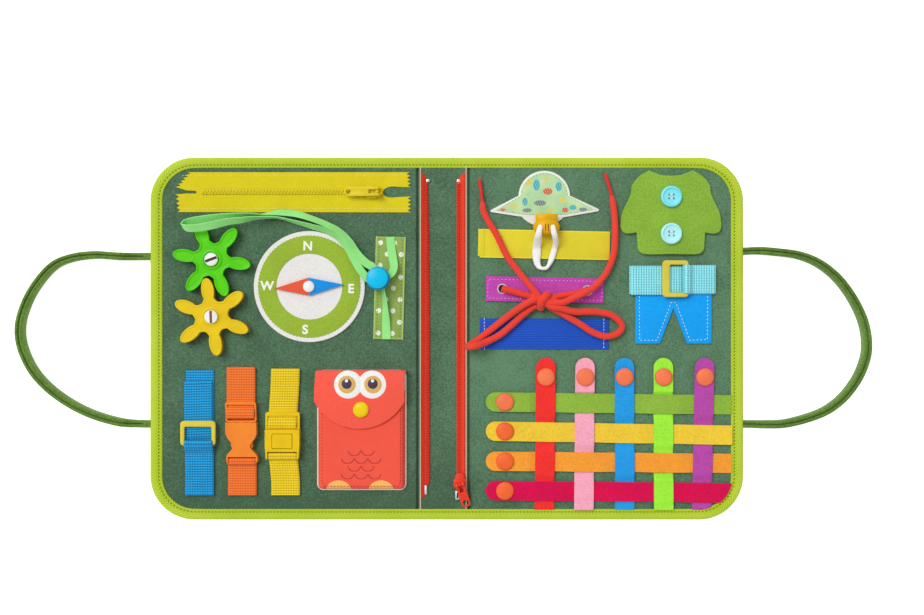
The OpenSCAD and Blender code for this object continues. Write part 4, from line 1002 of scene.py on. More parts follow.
moving("spine_slider_body", "spine_slider", slider_red, "slider_red", 0.35)
PULL_TURN, PULL_LENGTH = 18, 0.94
spine_pull_tab = moulded("spine_pull_tab", "spine_pull", slider_red)
pin_spot = Vector((11.6, -101.5, 10.8)) * MM
spine_pull_tab.data.transform(
    Matrix.Translation(pin_spot) @ Matrix.Rotation(radians(PULL_TURN), 4, "Z")
    @ Matrix.Scale(PULL_LENGTH, 4, (0, 1, 0)) @ Matrix.Translation(-pin_spot)
)
rides(spine_pull_tab, "spine_pull", "slider_red", "spine_pull")

# Flower gears: petals with a raised rim round a sunk face
rivet_white = plastic("rivet_white", rgb(240, 240, 236), 0.35)
# Painted shade: a brown piece put into the yellow gear's rivet slot and the toggle's slits.
painted_shade_brown = plastic("painted_shade_brown", rgb(150, 84, 62), 0.5)
# The last colour is the painted shade of the gear's sides.
gear_green = plastic("gear_green", rgb(86, 208, 0), 0.28, rgb(28, 132, 0))
gear_yellow = plastic("gear_yellow", rgb(230, 197, 12), 0.28, rgb(216, 142, 0))
GEAR_X, GEAR_TOP = -160.7, 12.4
# The fifth item is the painted shade put into each rivet's slot.
GEARS = (
    ("green", 55.0, -8.5, 20, 0.7, painted_shade_dark, gear_green),
    ("yellow", 15.2, 38.5, 92, 0.3, painted_shade_brown, gear_yellow),
)
rivet_head = [
    (0, 12.0), (3.4, 12.0), (3.4, 12.7), (4.6, 12.75), (4.7, 13.3), (4.4, 13.9), (3.6, 14.2), (0, 14.25),
]


def flower(x, y, turn):
    """Six petals, narrow at the hub and wide towards the tip."""
    middle, half_length, half_width = 18.6, 8.6, 4.45
    valley = ((11.9, 23), (11.4, 30), (11.9, 37))
    bends = [radians(10 * n) for n in range(-13, 14)]
    petal = [(middle + half_length * cos(a), half_width * sin(a)) for a in bends]
    petal += [(r * cos(radians(a)), r * sin(radians(a))) for r, a in valley]
    outline = []
    for k in range(6):
        outline += turned(petal, turn + 60 * k, x, y)
    return outline


def sink_top(piece, level, rim, depth):
    """Draws a rim on the flat top and sinks what is inside it."""
    alone(piece)
    bpy.ops.object.mode_set(mode="EDIT")
    bpy.ops.mesh.select_mode(type="FACE")
    bpy.ops.mesh.select_all(action="DESELECT")
    bpy.ops.object.mode_set(mode="OBJECT")
    for face in piece.data.polygons:
        face.select = face.normal.z > 0.99 and abs(face.center.z - level * MM) < 0.05 * MM
    bpy.ops.object.mode_set(mode="EDIT")
    bpy.ops.mesh.inset(thickness=rim * MM, depth=0)
    bpy.ops.mesh.inset(thickness=0.6 * MM, depth=-depth * MM)
    bpy.ops.object.mode_set(mode="OBJECT")


for name, y, turn, heading, sunk, slot_shade, finish in GEARS:
    body = name + "_gear"
    gear = plate(body + "_flower", flower(GEAR_X, y, turn), 5.6, GEAR_TOP, finish, 0)
    sink_top(gear, GEAR_TOP, 1.0, sunk)
    soften(gear, 0.5, 3, 30)
    rides(paint(gear, finish, 50), body, "gear_" + name, body)
    rim = 12.15 + 0.7 * sunk
    hub = [(5.3, 11.2), (5.3, rim - .35), (5.7, rim), (6.6, rim), (7.3, rim - .45), (7.4, 11.2), (5.3, 11.2)]
    rides(turned_part(body + "_hub", hub, GEAR_X, y, finish), body, "gear_" + name)
    head = turned_part(body + "_rivet", rivet_head, GEAR_X, y, rivet_white)
    cut = turned(rectangle(-5.2, -0.95, 5.2, 0.95, 0.2), heading, GEAR_X, y)
    carved(head, plate("cut", cut, 13.5, 15, slot_shade, 0))
    rides(paint(head, rivet_white), "left_half", "rivet_white", *when(name == "green", "pivot_rivets"))
    # Painted shade: a dark plate in the rivet's slot.
    groove = turned(rectangle(-4.3, -0.94, 4.3, 0.94, 0.2), heading, GEAR_X, y)
    rides(plate(body + "_slot", groove, 13.3, 13.56, slot_shade, 0), "left_half", "rivet_white")

# Compass: a card, a printed ring with its letters, and a two-colour needle
card_white = felt("card_white", rgb(236, 233, 230), 0.25)
ring_olive = felt("ring_olive", rgb(154, 184, 58), 0.35)
letter_white = felt("letter_white", rgb(246, 246, 236), 0.2)
COMPASS_X, COMPASS_Y = -93.6, 36.3
NEEDLE_TURN = 3.3
card_profile = [(0, PAGE), (38.2, PAGE), (38.8, 5.2), (38.9, 5.8), (38.5, 6.2), (34.6, 6.25), (0, 6.25)]
ring_profile = [(36.0, 6.2), (36.0, 6.5), (35.6, 6.62), (23.4, 6.62), (23.0, 6.5), (23.0, 6.2), (36.0, 6.2)]
stud_profile = [(0, 8.7), (3.8, 8.9), (4.0, 9.4), (3.7, 10.0), (2.8, 10.4), (0, 10.5)]


def printed_letter(letter, x, y):
    """A thin letter with its middle at this place on the card."""
    deselect()
    bpy.ops.object.text_add()
    text = bpy.context.object.data
    text.body = letter
    text.align_x, text.align_y = "CENTER", "CENTER"
    text.size, text.extrude, text.offset = 8.7 * MM, 0.12 * MM, 0.3 * MM
    bpy.ops.object.convert(target="MESH")
    mark = bpy.context.object
    mark.name = "compass_letter_" + letter
    spots = [v.co for v in mark.data.vertices]
    middle = [(max(s[i] for s in spots) + min(s[i] for s in spots)) / 2 for i in (0, 1)]
    spot = Matrix.Translation(Vector((x, y, 6.68)) * MM)
    lean = Matrix.Rotation(radians(-1.5), 4, "Z")
    mark.data.transform(spot @ lean @ Matrix.Translation((-middle[0], -middle[1], 0)))
    edit(mark, merge, outwards)
    return paint(mark, letter_white)


def needle_card():
    """Card printed red on one half and blue on the other."""
    red, blue = rgb(232, 92, 62), rgb(28, 146, 228)
    f = felt("needle_two_colour", red, 0.25)
    along, _, _ = f.axes(f.place((COMPASS_X, COMPASS_Y, 0), NEEDLE_TURN))
    halves = [f.mix(tone(ink, 0.93), tone(ink, 1.06), f.noise(0.8)) for ink in (red, blue)]
    return f.wear(f.mix(*halves, along.rise(-0.05, 0.05)))


card = turned_part("compass_card", card_profile, COMPASS_X, COMPASS_Y, card_white, 96)
rides(card, "left_half", "dial_white", "compass_dial")
rows = []
for radius, z in ring_profile:
    notch = 0.55 if radius > 34 else 0
    row = []
    for k in range(181):
        edge = radius - notch * (k % 2)
        row.append((COMPASS_X + edge * cos(2 * pi * k / 180), COMPASS_Y + edge * sin(2 * pi * k / 180), z))
    rows.append(row)
rides(net("compass_ring", rows, ring_olive, angle=50), "left_half", "dial_white")
for letter, x, y in (("N", -1.0, 28.5), ("E", 29.4, -1.35), ("S", -2.8, -29.9), ("W", -29.4, 0.6)):
    rides(printed_letter(letter, COMPASS_X + x, COMPASS_Y + y), "left_half", "dial_white")
diamond = turned([(24.3, 0), (0, 6.2), (-24.3, 0), (0, -6.2)], NEEDLE_TURN, COMPASS_X, COMPASS_Y)
needle = plate("compass_needle_card", diamond, 7.1, 8.6, needle_card(), 0.25)
rides(needle, "compass_needle", "needle_two_colour", "compass_needle")
stud = turned_part("compass_stud", stud_profile, COMPASS_X, COMPASS_Y, rivet_white)
rides(stud, "left_half", "rivet_white")

# Spotted tag
TAG_X, TAG_Y, TAG_TURN = -37.6, 35.3, -1.5


def spotted_cloth():
    """Olive cloth with rows of white dots and a paler hem on both sides."""
    f = Finish("tag_olive", rgb(151, 178, 95), 0.85, Specular_IOR_Level=0.2)
    x, y, _ = f.axes(f.place((TAG_X, TAG_Y, 0), TAG_TURN))
    gap_x, gap_y = 9.8, 7.9
    odd = abs(((y + 4) / gap_y).whole() % 2.0)
    near_x = (x + odd * (gap_x / 2) + 2.2) % gap_x - gap_x / 2
    near_y = (y + 4) % gap_y - gap_y / 2
    dot = 1 - (near_x * near_x + near_y * near_y).rise(2.5, 3.6)
    side_hem = abs(x).rise(9.3, 9.8)
    yarns = x.wave(0.55) * 0.25 + y.wave(0.55) * 0.25 + 0.5
    olive = f.mix(rgb(128, 158, 70), rgb(166, 192, 104), yarns * 0.5 + f.noise(5) * 0.5)
    olive = f.mix(olive, rgb(176, 204, 110), side_hem)
    return f.wear(f.mix(olive, rgb(240, 243, 226), dot), height=yarns * 0.1 + side_hem * 0.15)


def on_tag(points):
    """Points of the tag, turned and moved to its place."""
    return turned(points, TAG_TURN, TAG_X, TAG_Y)


tag = plate("tag_cloth", on_tag(rectangle(-10.5, -36, 10.5, 36, 0.4)), PAGE, 6.0, spotted_cloth(), 0.35)
rides(tag, "left_half", "tag_olive", "ribbon_tag")
seam_olive = thread("seam_olive", rgb(92, 116, 48))
seams = [on_tag([(s * 8.1, -34.5), (s * 8.1, 34.5)]) for s in (-1, 1)]
rides(stitches("tag_seam", seams, 2.4, 6.0, seam_olive, 1.3, 0.5), "left_half", "tag_olive")
seam_light = thread("seam_light", rgb(190, 214, 130))
seams = [on_tag([(-10, s * 35.2), (10, s * 35.2)]) for s in (-1, 1)]
rides(stitches("tag_hem", seams, 1.6, 6.0, seam_light, 1.4, 0.5), "left_half", "tag_olive")

# Cord lock
lock_blue = plastic("lock_blue", rgb(3, 189, 233), 0.3)
lock_deep = plastic("lock_deep", rgb(0, 160, 214), 0.3)
lock_profile = [
    (0, 16.7), (2.9, 16.9), (2.9, 18.2), (6.4, 18.25), (7.1, 18.6), (7.25, 19.4), (7.0, 20.2), (6.2, 20.6),
    (0, 20.7),
]
moving("cord_lock_barrel", "cord_lock", lock_deep, "lock_blue", 0.4)
cap_blue = turned_part("cord_lock_cap", lock_profile, -45.0, 41.9, lock_blue, 48)
rides(cap_blue, "cord_lock_button", "lock_blue", "cord_lock_button")

# Straps and their buckles
web_blue = webbing("web_blue", rgb(30, 149, 209), 0.55)
web_orange = webbing("web_orange", rgb(247, 117, 46))
web_yellow = webbing("web_yellow", rgb(236, 202, 34))
ring_yellow = plastic("ring_yellow", rgb(222, 202, 66), 0.4)
buckle_orange = plastic("buckle_orange", rgb(243, 134, 40), 0.42)
buckle_yellow = plastic("buckle_yellow", rgb(232, 194, 4), 0.42)
WEB = web_section(20.0, 1.2)
BLUE_X, ORANGE_X, YELLOW_X = -170.7, -141.3, -110.3
TURN_R = 2.2


def strap(name, x, points, finish, step=1.2, section=WEB, lean=(1, 0, 0)):
    """A strap whose middle runs through points given as (y, z), at one X or one that changes with Y."""
    line = smooth_line([(x(y) if callable(x) else x, y, z) for y, z in points], step)
    return sweep(name, line, section, finish, lean, 50)


def hem(along, z, start, end):
    """Points round a bar, for a strap that turns back on it."""
    return arc(along, z, TURN_R, start, end, 14)


line = [(-22.1, 5.4), (-40, 5.4), (-75, 5.4), (-109.3, 5.4)]
rides(strap("blue_strap_base", BLUE_X + 0.5, line, web_blue), "left_half", "web_blue", "blue_strap")
line = [(-29.9, 6.1), (-31.2, 6.62), (-45, 6.62), (-66, 6.62), (-69.6, 6.4)]
upper_web = web_section(19.9, 1.25)
upper = strap("blue_strap_upper", BLUE_X - 0.3, line, web_blue, section=upper_web, lean=(1, 0.035, 0))
rides(upper, "left_half", "web_blue")
line = hem(-73.2, 8.8, -95, 150) + [(-77.2, 8.4), (-80, 6.9), (-84, 6.6), (-109.3, 6.6)]
rides(strap("blue_strap_lower", BLUE_X + 0.4, line, web_blue, 0.8), "left_half", "web_blue")


def flat_ring(name, x0, y0, x1, y1, bars, low, finish):
    """A rectangular ring; bars are its widths on the left, below, on the right and above."""
    left, below, right, above = bars
    high = low + 2.6
    ring = plate(name, rectangle(x0, y0, x1, y1, 2.6, 6), low, high, finish, 0)
    hole = rectangle(x0 + left, y0 + below, x1 - right, y1 - above, 1.0, 4)
    carved(ring, plate("hole", hole, low - 1, high + 1, finish, 0))
    soften(ring, 0.7, 3)
    return paint(ring, finish, 45)


ring_bars = 2.9, 2.6, 2.9, 4.2
blue_ring = flat_ring("blue_ring", BLUE_X - 12.3, -74.5, BLUE_X + 12.3, -57.2, ring_bars, 7.5, ring_yellow)
rides(blue_ring, "blue_strap_ring", "ring_yellow", "blue_strap_ring")


def buckled(name, x, top, bar_y, body, finish, slot, node):
    """The upper strap of a buckle.

    It has a layer sewn down, a run, and a turn that goes with the bar.
    """
    base = strap(name + "_base", x, [(top, 5.4), (-30, 5.4), (bar_y + 4, 5.4), (bar_y - 6.4, 5.4)], finish)
    rides(base, "left_half", slot)
    seam = bar_y + 7.4
    run = strap(name + "_run", x, [(top, 6.4), (top - 1.4, 6.62), (-34, 6.62), (seam, 6.62)], finish, 0.8)
    rides(run, "left_half", slot, node)
    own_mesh(run)
    turn = [(seam, 6.62), (bar_y + 4.4, 7.3), (bar_y + 2.4, 9), (bar_y + 0.5, 9.9)]
    turn += hem(bar_y - 2.2, 7.9, 80, 225)
    rides(strap(name + "_turn", x, turn, finish, 0.8), body, slot)


def tail(name, x, bar_y, finish, slot, nodes):
    """The lower strap of a buckle, sewn down as two layers."""
    line = hem(bar_y, 7.6, 30, 180) + [(bar_y - 2.6, 6.9), (bar_y - 4.4, 6.6), (bar_y - 8, 6.6)]
    line += [(-100, 6.6), (-109.3, 6.6)]
    upper = strap(name + "_upper", x, line, finish, 0.8)
    rides(upper, "left_half", slot, *nodes)
    base = strap(name + "_base", x, [(bar_y + 1, 5.4), (bar_y - 10, 5.4), (-100, 5.4), (-109.3, 5.4)], finish)
    rides(base, "left_half", slot)


def yellow_middle(y):
    """The yellow strap leans towards its buckle."""
    return YELLOW_X - between(-y, 28, 52, 0, 1.6)


def yellow_tail_middle(y):
    """The yellow tail leans back again."""
    return YELLOW_X - between(-y, 84, 96, 1.6, -0.1)


buckled("orange_strap_web", ORANGE_X, -20.4, -51.1, "side_buckle_plug",
        web_orange, "web_orange", "orange_strap")
buckled("yellow_strap_web", yellow_middle, -21.4, -58.1, "press_buckle_tongue",
        web_yellow, "web_yellow", "yellow_strap")
tail("orange_tail", ORANGE_X + 0.95, -85.3, web_orange, "web_orange", ["strap_tails"])
tail("yellow_tail", yellow_tail_middle, -81.7, web_yellow, "web_yellow", [])
for name, node, finish, slot, edge in (
    ("side_socket", "side_buckle_socket", buckle_orange, "buckle_orange", 0.5),
    ("side_plug", "side_buckle_plug", buckle_orange, "buckle_orange", 0.4),
    ("press_socket", "press_buckle_socket", buckle_yellow, "buckle_yellow", 0.5),
    ("press_tongue", "press_buckle_tongue", buckle_yellow, "buckle_yellow", 0.4),
    ("press_button", "press_buckle_button", buckle_yellow, "buckle_yellow", 0.35),
):
    body = "left_half" if "socket" in node else node
    shell = moulded(name + "_shell", node, finish, 0)
    if name == "side_plug":
        for low, high in ((-57.0, -54.8), (-47.4, -46.0)):
            corners = (-10.1, low), (10.1, low), (10.1, high), (-10.1, high)
            carved(shell, plate("cut", [(ORANGE_X + x, y) for x, y in corners], 5, 14, finish, 0))
    soften(shell, edge, 3)
    if "press" in name:
        shell.data.transform(Matrix.Translation((-1.6 * MM, 0, 0)))
    else:
        for vertex in shell.data.vertices:
            x, y = vertex.co.x / MM, vertex.co.y / MM
            share = 0.95 - (between(-y, 61, 65, 0, 0.06) if name == "side_plug" else 0)
            vertex.co.x = (ORANGE_X + (x - ORANGE_X) * share + between(-y, 44, 84, 0.1, 1.5)) * MM
    rides(paint(shell, finish, 45), body, slot, node)

# Owl pouch
OWL_X, OWL_Y0, OWL_Y1 = -56.9, -105.9, -21.9
FRONT_HALF, FRONT_INSET = 30.3, 0.9
FLAP_X, FLAP_TOP = -58.1, -22.85


def owl_cloth():
    """Red cloth with a patch of scallops on the breast and two feet."""
    red = rgb(244, 88, 68)
    f = Finish("owl_red", red, 0.8, Sheen_Weight=0.1, Specular_IOR_Level=0.2)
    x, y, _ = f.axes(f.place((OWL_X, OWL_Y0, 0)))
    grain = f.noise(0.6) * 0.5 + f.noise(10) * 0.6 - 0.05
    colour = f.mix(tone(red, 0.86), tone(red, 1.1), grain)
    gap_x, gap_y, lowest = 9.4, 5.4, 8.4
    row = ((y - lowest) / gap_y).whole()
    shift = abs(row % 2.0) * (gap_x / 2)
    near_x = (x + shift + gap_x / 2) % gap_x - gap_x / 2
    near_y = y - lowest - row * gap_y - 4.6
    ring = (near_x * near_x + near_y * near_y) ** 0.5 - 4.5
    line = (1 - abs(ring).rise(0.25, 0.6)) * (0 - near_y).rise(0.3, 1.4)
    within = ((14.0 - shift) > abs(x)) * y.rise(8.2, 8.6) * (1 - y.rise(29.6, 30.0))
    colour = f.mix(colour, rgb(176, 56, 50), line * within * 0.85)
    toe_x = (abs(x + 1) - 14.8) / 8.8
    toe_y = (y - 0.4) / 7.3
    foot = 1 - (toe_x * toe_x + toe_y * toe_y).rise(0.96, 1.0)
    return f.wear(f.mix(colour, rgb(250, 184, 98), foot), height=f.noise(0.6) * 0.06)


raw_white = felt("raw_edge_white", rgb(244, 232, 224), 0.3)
raw_pink = felt("raw_edge_pink", rgb(244, 176, 160), 0.3)
flap_red = felt("flap_red", rgb(250, 94, 76), 0.25)
pouch_outline = rectangle(OWL_X - 31.2, OWL_Y0, OWL_X + 31.2, OWL_Y1, 4.6, 8)
back = plate("owl_back", pouch_outline, PAGE, 6.3, raw_white, 0.3)
rides(back, "left_half", "owl_red", "owl_pouch")


def pillow(distance):
    """How far the front has risen at this distance from its edge, from 0 to 1."""
    slope = 4.0
    return 1 - (1 - min(1.0, max(0.0, distance / slope))) ** 3


def pouch_level(x, y):
    """The front's height over the pouch, falling to its sewn edges."""
    sewn, puff = 7.2, 4.5
    return sewn + puff * pillow(FRONT_HALF - abs(x - OWL_X)) * pillow(y - OWL_Y0 - FRONT_INSET)


def front_half_width(y):
    """Half the front's width, with its lower corners rounded."""
    rise = y - OWL_Y0 - FRONT_INSET
    corner = 3.8
    return FRONT_HALF - (corner - sqrt(max(0.0, corner ** 2 - (corner - rise) ** 2)) if rise < corner else 0)


rows = []
ups = [0, 0.15, 0.4, 0.8, 1.4, 2.1, 2.9, 3.8, 5, 6.5] + [8 + 2.9 * k for k in range(22)]
shares = [sin(radians(90 * k / 20)) for k in range(-20, 21)]
for up in ups:
    y = OWL_Y0 + FRONT_INSET + up
    w = front_half_width(y)
    top = [(OWL_X + w * t, y, pouch_level(OWL_X + w * t, y)) for t in shares]
    under = [(px, py, max(6.3, pz - 1.2)) for px, py, pz in reversed(top)]
    rows.append(top + under + top[:1])
front = net("owl_front", rows, owl_cloth(), angle=60)
rides(front, "left_half", "owl_red")
seam_red = thread("seam_red", rgb(190, 44, 34))
inner = [(-27.2, -42), (-27.2, -100), (-25.4, -102.4), (25.4, -102.4), (27.2, -100), (27.2, -42)]
places = []
for px, py, _, heading in along_line([(OWL_X + x, y) for x, y in inner], 2.3, 0):
    places.append((px, py, pouch_level(px, py) + 0.02, heading))
rides(copies("owl_seam", bead(1.25, 0.55, 0.5, seam_red), places), "left_half", "owl_red")
fold_section = [(-.1, 6.2), (-.1, 10.6), (-.6, 11.9), (-1.6, 11.9), (-1.3, 10.4), (-1.3, 6.2)]
fold_section = [(OWL_Y1 + y, z) for y, z in fold_section]
line = [(OWL_X - 31.0 + 2 * k, 0, 0) for k in range(32)]
rides(sweep("owl_top_fold", line, fold_section, flap_red, (0, 1, 0)), "left_half", "owl_red")
flap_w, flap_drop, sides_drop = 31.3, 39.5, 20.5
bow = flap_drop - sides_drop
bow_r = (flap_w ** 2 + bow ** 2) / (2 * bow)
swing = degrees(atan2(flap_w, bow_r - bow))
flap_outline = arc(FLAP_X, FLAP_TOP - flap_drop + bow_r, bow_r, -90 - swing, -90 + swing, 40)
upper_edge = [
    (flap_w, -14), (flap_w, 0), (flap_w - 0.6, 0.7), (1.4 - flap_w, 0.7), (0.9 - flap_w, 0), (-flap_w, -14),
]
flap_outline += [(FLAP_X + x, FLAP_TOP + y) for x, y in upper_edge]
lining = plate("owl_flap_lining", inside(flap_outline, 0.2), 12.4, 12.85, raw_pink, 0.1, 1)
rides(lining, "owl_flap", "owl_red", "owl_flap")
flap = plate("owl_flap_cloth", flap_outline, 12.85, 13.9, flap_red, 0.4)
rides(flap, "owl_flap", "owl_red")
eye_white = felt("eye_white", rgb(246, 243, 240), 0.2)
eye_tan = felt("eye_tan", rgb(222, 180, 104), 0.35)
eye_dark = plastic("eye_dark", rgb(72, 58, 82), 0.4)
EYE_X, EYE_Y = -57.4, -31.6
eye_profiles = {
    "eye": [(0, 13.8), (9.7, 13.8), (9.7, 14.0), (9.4, 14.14), (0, 14.16)],
    "iris": [(0, 14.1), (6.1, 14.1), (6.1, 14.22), (5.9, 14.3), (0, 14.3)],
    "pupil": [(0, 14.2), (3.5, 14.2), (3.5, 14.36), (3.3, 14.44), (0, 14.46)],
    "glint": [(0, 14.4), (1.15, 14.4), (1.1, 14.54), (0, 14.58)],
}
for name, ex, squint in (("left", EYE_X - 8.3, -0.8), ("right", EYE_X + 8.3, 0.6)):
    ix = ex + squint
    for layer, x, y, finish, count in (
        ("eye", ex, EYE_Y, eye_white, 48),
        ("iris", ix, EYE_Y, eye_tan, 40),
        ("pupil", ix - 0.2, EYE_Y + 0.5, eye_dark, 32),
        ("glint", ix - 0.3, EYE_Y + 2.6, eye_white, 20),
    ):
        disc = turned_part(f"owl_{layer}_{name}", eye_profiles[layer], x, y, finish, count)
        rides(disc, "owl_flap", "owl_red")
beak_yellow = plastic("beak_yellow", rgb(240, 206, 12), 0.22)
beak_profile = [(0, 13.9), (5.5, 13.9), (5.5, 14.6), (5.1, 15.5), (4.0, 16.1), (2.2, 16.38), (0, 16.4)]
rides(turned_part("owl_beak", beak_profile, -56.9, -49.0, beak_yellow), "owl_flap", "owl_red")

# Saucer patch: a white backing with a printed face in plain shapes
SAUCER_X, SAUCER_Y = 70.6, 99.2
patch_white = felt("saucer_white", rgb(238, 238, 232), 0.25)
saucer_inks = (
    (rgb(226, 206, 92), ((-11, 10, 2.6, 2.2), (1.5, 12.5, 1.6, 1.6), (12.6, -2.5, 2.4, 2.0),
                         (-22, -7, 3.0, 1.5), (4, -9.5, 2.6, 1.4))),
    (rgb(64, 172, 196), ((-5.5, 8, 2.5, 4.0), (10, 7, 2.3, 3.4), (-13.5, -3.6, 2.0, 3.0),
                         (20, -7.6, 2.6, 1.8))),
    (rgb(222, 84, 64), ((2.4, 3.6, 3.4, 2.4), (-29, -9.2, 2.0, 1.0), (14.6, -9.4, 2.4, 1.8))),
    (rgb(122, 126, 142), ((-3, -4.5, 4.4, 2.0), (27, -9, 3.0, 1.3), (-12, -9.6, 3.4, 1.5))),
)


def saucer_outline(inset=0.0):
    """The saucer's edge, drawn in by about this distance, and more at the tips of its wings."""
    tip = 2.6 * inset
    dome = arc(0, 0, 18.1 - inset, 2, 178, 36)
    left = [(tip - 37.6, 0.1 * inset - 9.4), (tip - 37.9, -10.2), (tip - 37.2, 0.6 * inset - 10.9)]
    foot = [(-14, inset - 14.4), (0, inset - 14.7), (14, inset - 14.4)]
    right = [(37.8 - tip, 0.6 * inset - 10.3), (38.5 - tip, -9.4), (38.0 - tip, 0.1 * inset - 8.6)]
    return [(SAUCER_X + x, SAUCER_Y + y) for x, y in dome + left + foot + right]


def oval(x, y, cx, cy, rx, ry):
    """A printed oval."""
    a, b = (x - cx) / rx, (y - cy) / ry
    return 1 - (a * a + b * b).rise(0.86, 1.0)


def saucer_cloth():
    """Pale green cloth with striped ovals in four inks."""
    f = Finish("saucer_print", rgb(172, 214, 170), 0.85, Specular_IOR_Level=0.2)
    x, y, _ = f.axes(f.place((SAUCER_X, SAUCER_Y, 0)))
    colour = f.mix(rgb(160, 210, 160), rgb(206, 228, 170), f.noise(9) * 2 - 0.5)
    stripes = 1 - (x + y * 0.4).wave(1.7).rise(0.1, 0.6) * 0.45
    for ink, shapes in saucer_inks:
        mask = oval(x, y, *shapes[0])
        for shape in shapes[1:]:
            mask = mask.most(oval(x, y, *shape))
        colour = f.mix(colour, ink, mask * stripes)
    return f.wear(colour, height=f.noise(0.5) * 0.08)


patch = plate("saucer_backing", saucer_outline(), PAGE, 6.2, patch_white, 0.4)
rides(patch, "right_half", "saucer_white", "saucer_patch")
lobe_outline = arc(SAUCER_X - 1, SAUCER_Y - 1, 19.7, 215, 325, 30)
lobe = plate("saucer_lobe", lobe_outline, PAGE, 6.0, patch_white)
rides(lobe, "right_half", "saucer_white")
printed = plate("saucer_print", saucer_outline(1.6), 6.1, 6.34, saucer_cloth(), 0.1, 1)
rides(printed, "right_half", "saucer_white")
seam_grey = thread("seam_grey", rgb(150, 150, 140))
border = saucer_outline(2.0)
seam = stitches("saucer_seam", [border + border[:1]], 2.4, 6.34, seam_grey, 0.9, 0.4)
rides(seam, "right_half", "saucer_white")

# Toggle
toggle_yellow = plastic("toggle_yellow", rgb(226, 170, 4), 0.35)
TOGGLE_X, TOGGLE_Y, TOGGLE_Z = 71.7, 77.6, 11.85


def oval_row(width, height, y):
    """A closed ring of points round the toggle's axis."""
    ring = round_section(width, height, 44)
    return [(TOGGLE_X + a, y, TOGGLE_Z + b) for a, b in ring + ring[:1]]


def oval_bar(name, width, height, y0, y1, edge):
    """A bar of oval section along the toggle's axis, with its ends rounded."""
    cuts = ((y0, edge), (y0 + edge, 0), (y1 - edge, 0), (y1 - 0.3 * edge, 0.3 * edge), (y1, edge))
    rows = [oval_row(width - 2 * cut, height - 2 * cut, y) for y, cut in cuts]
    return net(name, rows, toggle_yellow, angle=50)


rows = []
for k in range(-12, 13):
    t = min(0.9999, abs(sin(radians(7.5 * k))))
    width = 18.6 * (1 - t ** 2.3) ** (1 / 2.3)
    height = 11.2 * (1 - t ** 2.8) ** (1 / 2.8)
    rows.append(oval_row(width, height, TOGGLE_Y + 5.65 * (t if k > 0 else -t)))
barrel = net("toggle_barrel_shell", rows, toggle_yellow, angle=60)
slits = [rectangle(TOGGLE_X + x - .3, 74.6, TOGGLE_X + x + .3, 79.2, 0.1) for x in (-0.95, 0.95)]
carved(barrel, oval_bar("hole", 15.7, 6.2, 75.4, 84.5, 0.01),
       *(plate("cut", slit, 16.3, 18, toggle_yellow, 0) for slit in slits))
rides(paint(barrel, toggle_yellow, 50), "right_half", "toggle_yellow", "toggle_barrel")
toggle_cap = oval_bar("toggle_cap", 15.3, 5.8, 78.2, 86.6, 0.9)
rides(toggle_cap, "toggle_button", "toggle_yellow", "toggle_button")
# Painted shade: a brown plate in each slit.
for name, slit in zip(("left", "right"), slits):
    rides(plate(f"toggle_slit_{name}", slit, 16.1, 16.6, painted_shade_brown, 0), "right_half", "toggle_yellow")

# Bands sewn across the page
TILT = -1.2
BAND_X, BAND_Y = 70.5, 65.7
LACING_X, LACING_Y = 71.0, 34.1
band_yellow = elastic("band_yellow", rgb(226, 211, 46), (BAND_X, BAND_Y), 10, 1.5, TILT, 0.06, 0.05)
band_purple = felt("band_purple", rgb(193, 74, 176), 0.45)
band_blue = elastic("band_blue", rgb(25, 85, 200), (70.6, 3.3), 12, 1.75, 0, 0.55, 0.35)
eyelet_profile = [
    (2.65, PAGE), (2.95, PAGE), (2.95, 6.2), (3.75, 6.2), (3.7, 6.6), (3.3, 7.0), (2.9, 6.95), (2.65, 6.5),
    (2.65, PAGE),
]


def on_band(points):
    """Points of the yellow band, tilted and moved to its place."""
    return turned(points, TILT, BAND_X, BAND_Y)


def on_lacing(points):
    """Points of the lacing strip, tilted and moved to its place."""
    return turned(points, TILT, LACING_X, LACING_Y)


outline = on_band([(-46, -8.9), (-45, -9.2), (-44.8, -10), (46, -10), (46, 10), (-45.6, 10)])
band = plate("band_yellow_elastic", outline, PAGE, 6.0, band_yellow, 0.3)
rides(band, "right_half", "bands_mixed", "sewn_bands")
fold = plate("band_yellow_fold", on_band(rectangle(-46.2, -9, -41.5, 9.9, 0.3)), 5.7, 6.3, band_yellow, 0.2)
rides(fold, "right_half", "bands_mixed")
strip = plate("lacing_strip", on_lacing(rectangle(-41.3, -8.8, 41.3, 8.8)), PAGE, 6.2, band_purple, 0.35)
eyes = on_lacing([(-29.7, 0), (29.7, 0)])
carved(strip, *(plate("hole", arc(ex, ey, 3.0, 0, 345, 23), 4, 7, band_purple, 0) for ex, ey in eyes))
paint(strip, band_purple)
rides(strip, "right_half", "bands_mixed")
seam_white = thread("seam_white", rgb(240, 226, 240))
frame_line = on_lacing([(-39.8, -6.6), (39.8, -6.6), (39.8, 6.6), (-39.8, 6.6), (-39.8, -6.6)])
rides(stitches("lacing_seam", [frame_line], 2.7, 6.2, seam_white, 1.1, 0.38), "right_half", "bands_mixed")
eyelet_metal = metal("eyelet_metal", rgb(255, 250, 252))
for name, (ex, ey) in zip(("left", "right"), eyes):
    ring = turned_part(f"eyelet_{name}", eyelet_profile, ex, ey, eyelet_metal, 36)
    rides(ring, "right_half", "eyelet_metal", *when(name == "left", "eyelets"))
    # Painted shade: a dark disc in the eyelet's hole.
    well = plate(f"eyelet_well_{name}", arc(ex, ey, 2.65, 0, 345, 23), PAGE, 4.95, painted_shade_dark, 0)
    rides(well, "right_half", "eyelet_metal")
ribbed = plate("band_blue_elastic", rectangle(25.6, -7.4, 115.6, 14.0, 0.4), PAGE, 6.0, band_blue, 0.3)
rides(ribbed, "right_half", "bands_mixed")
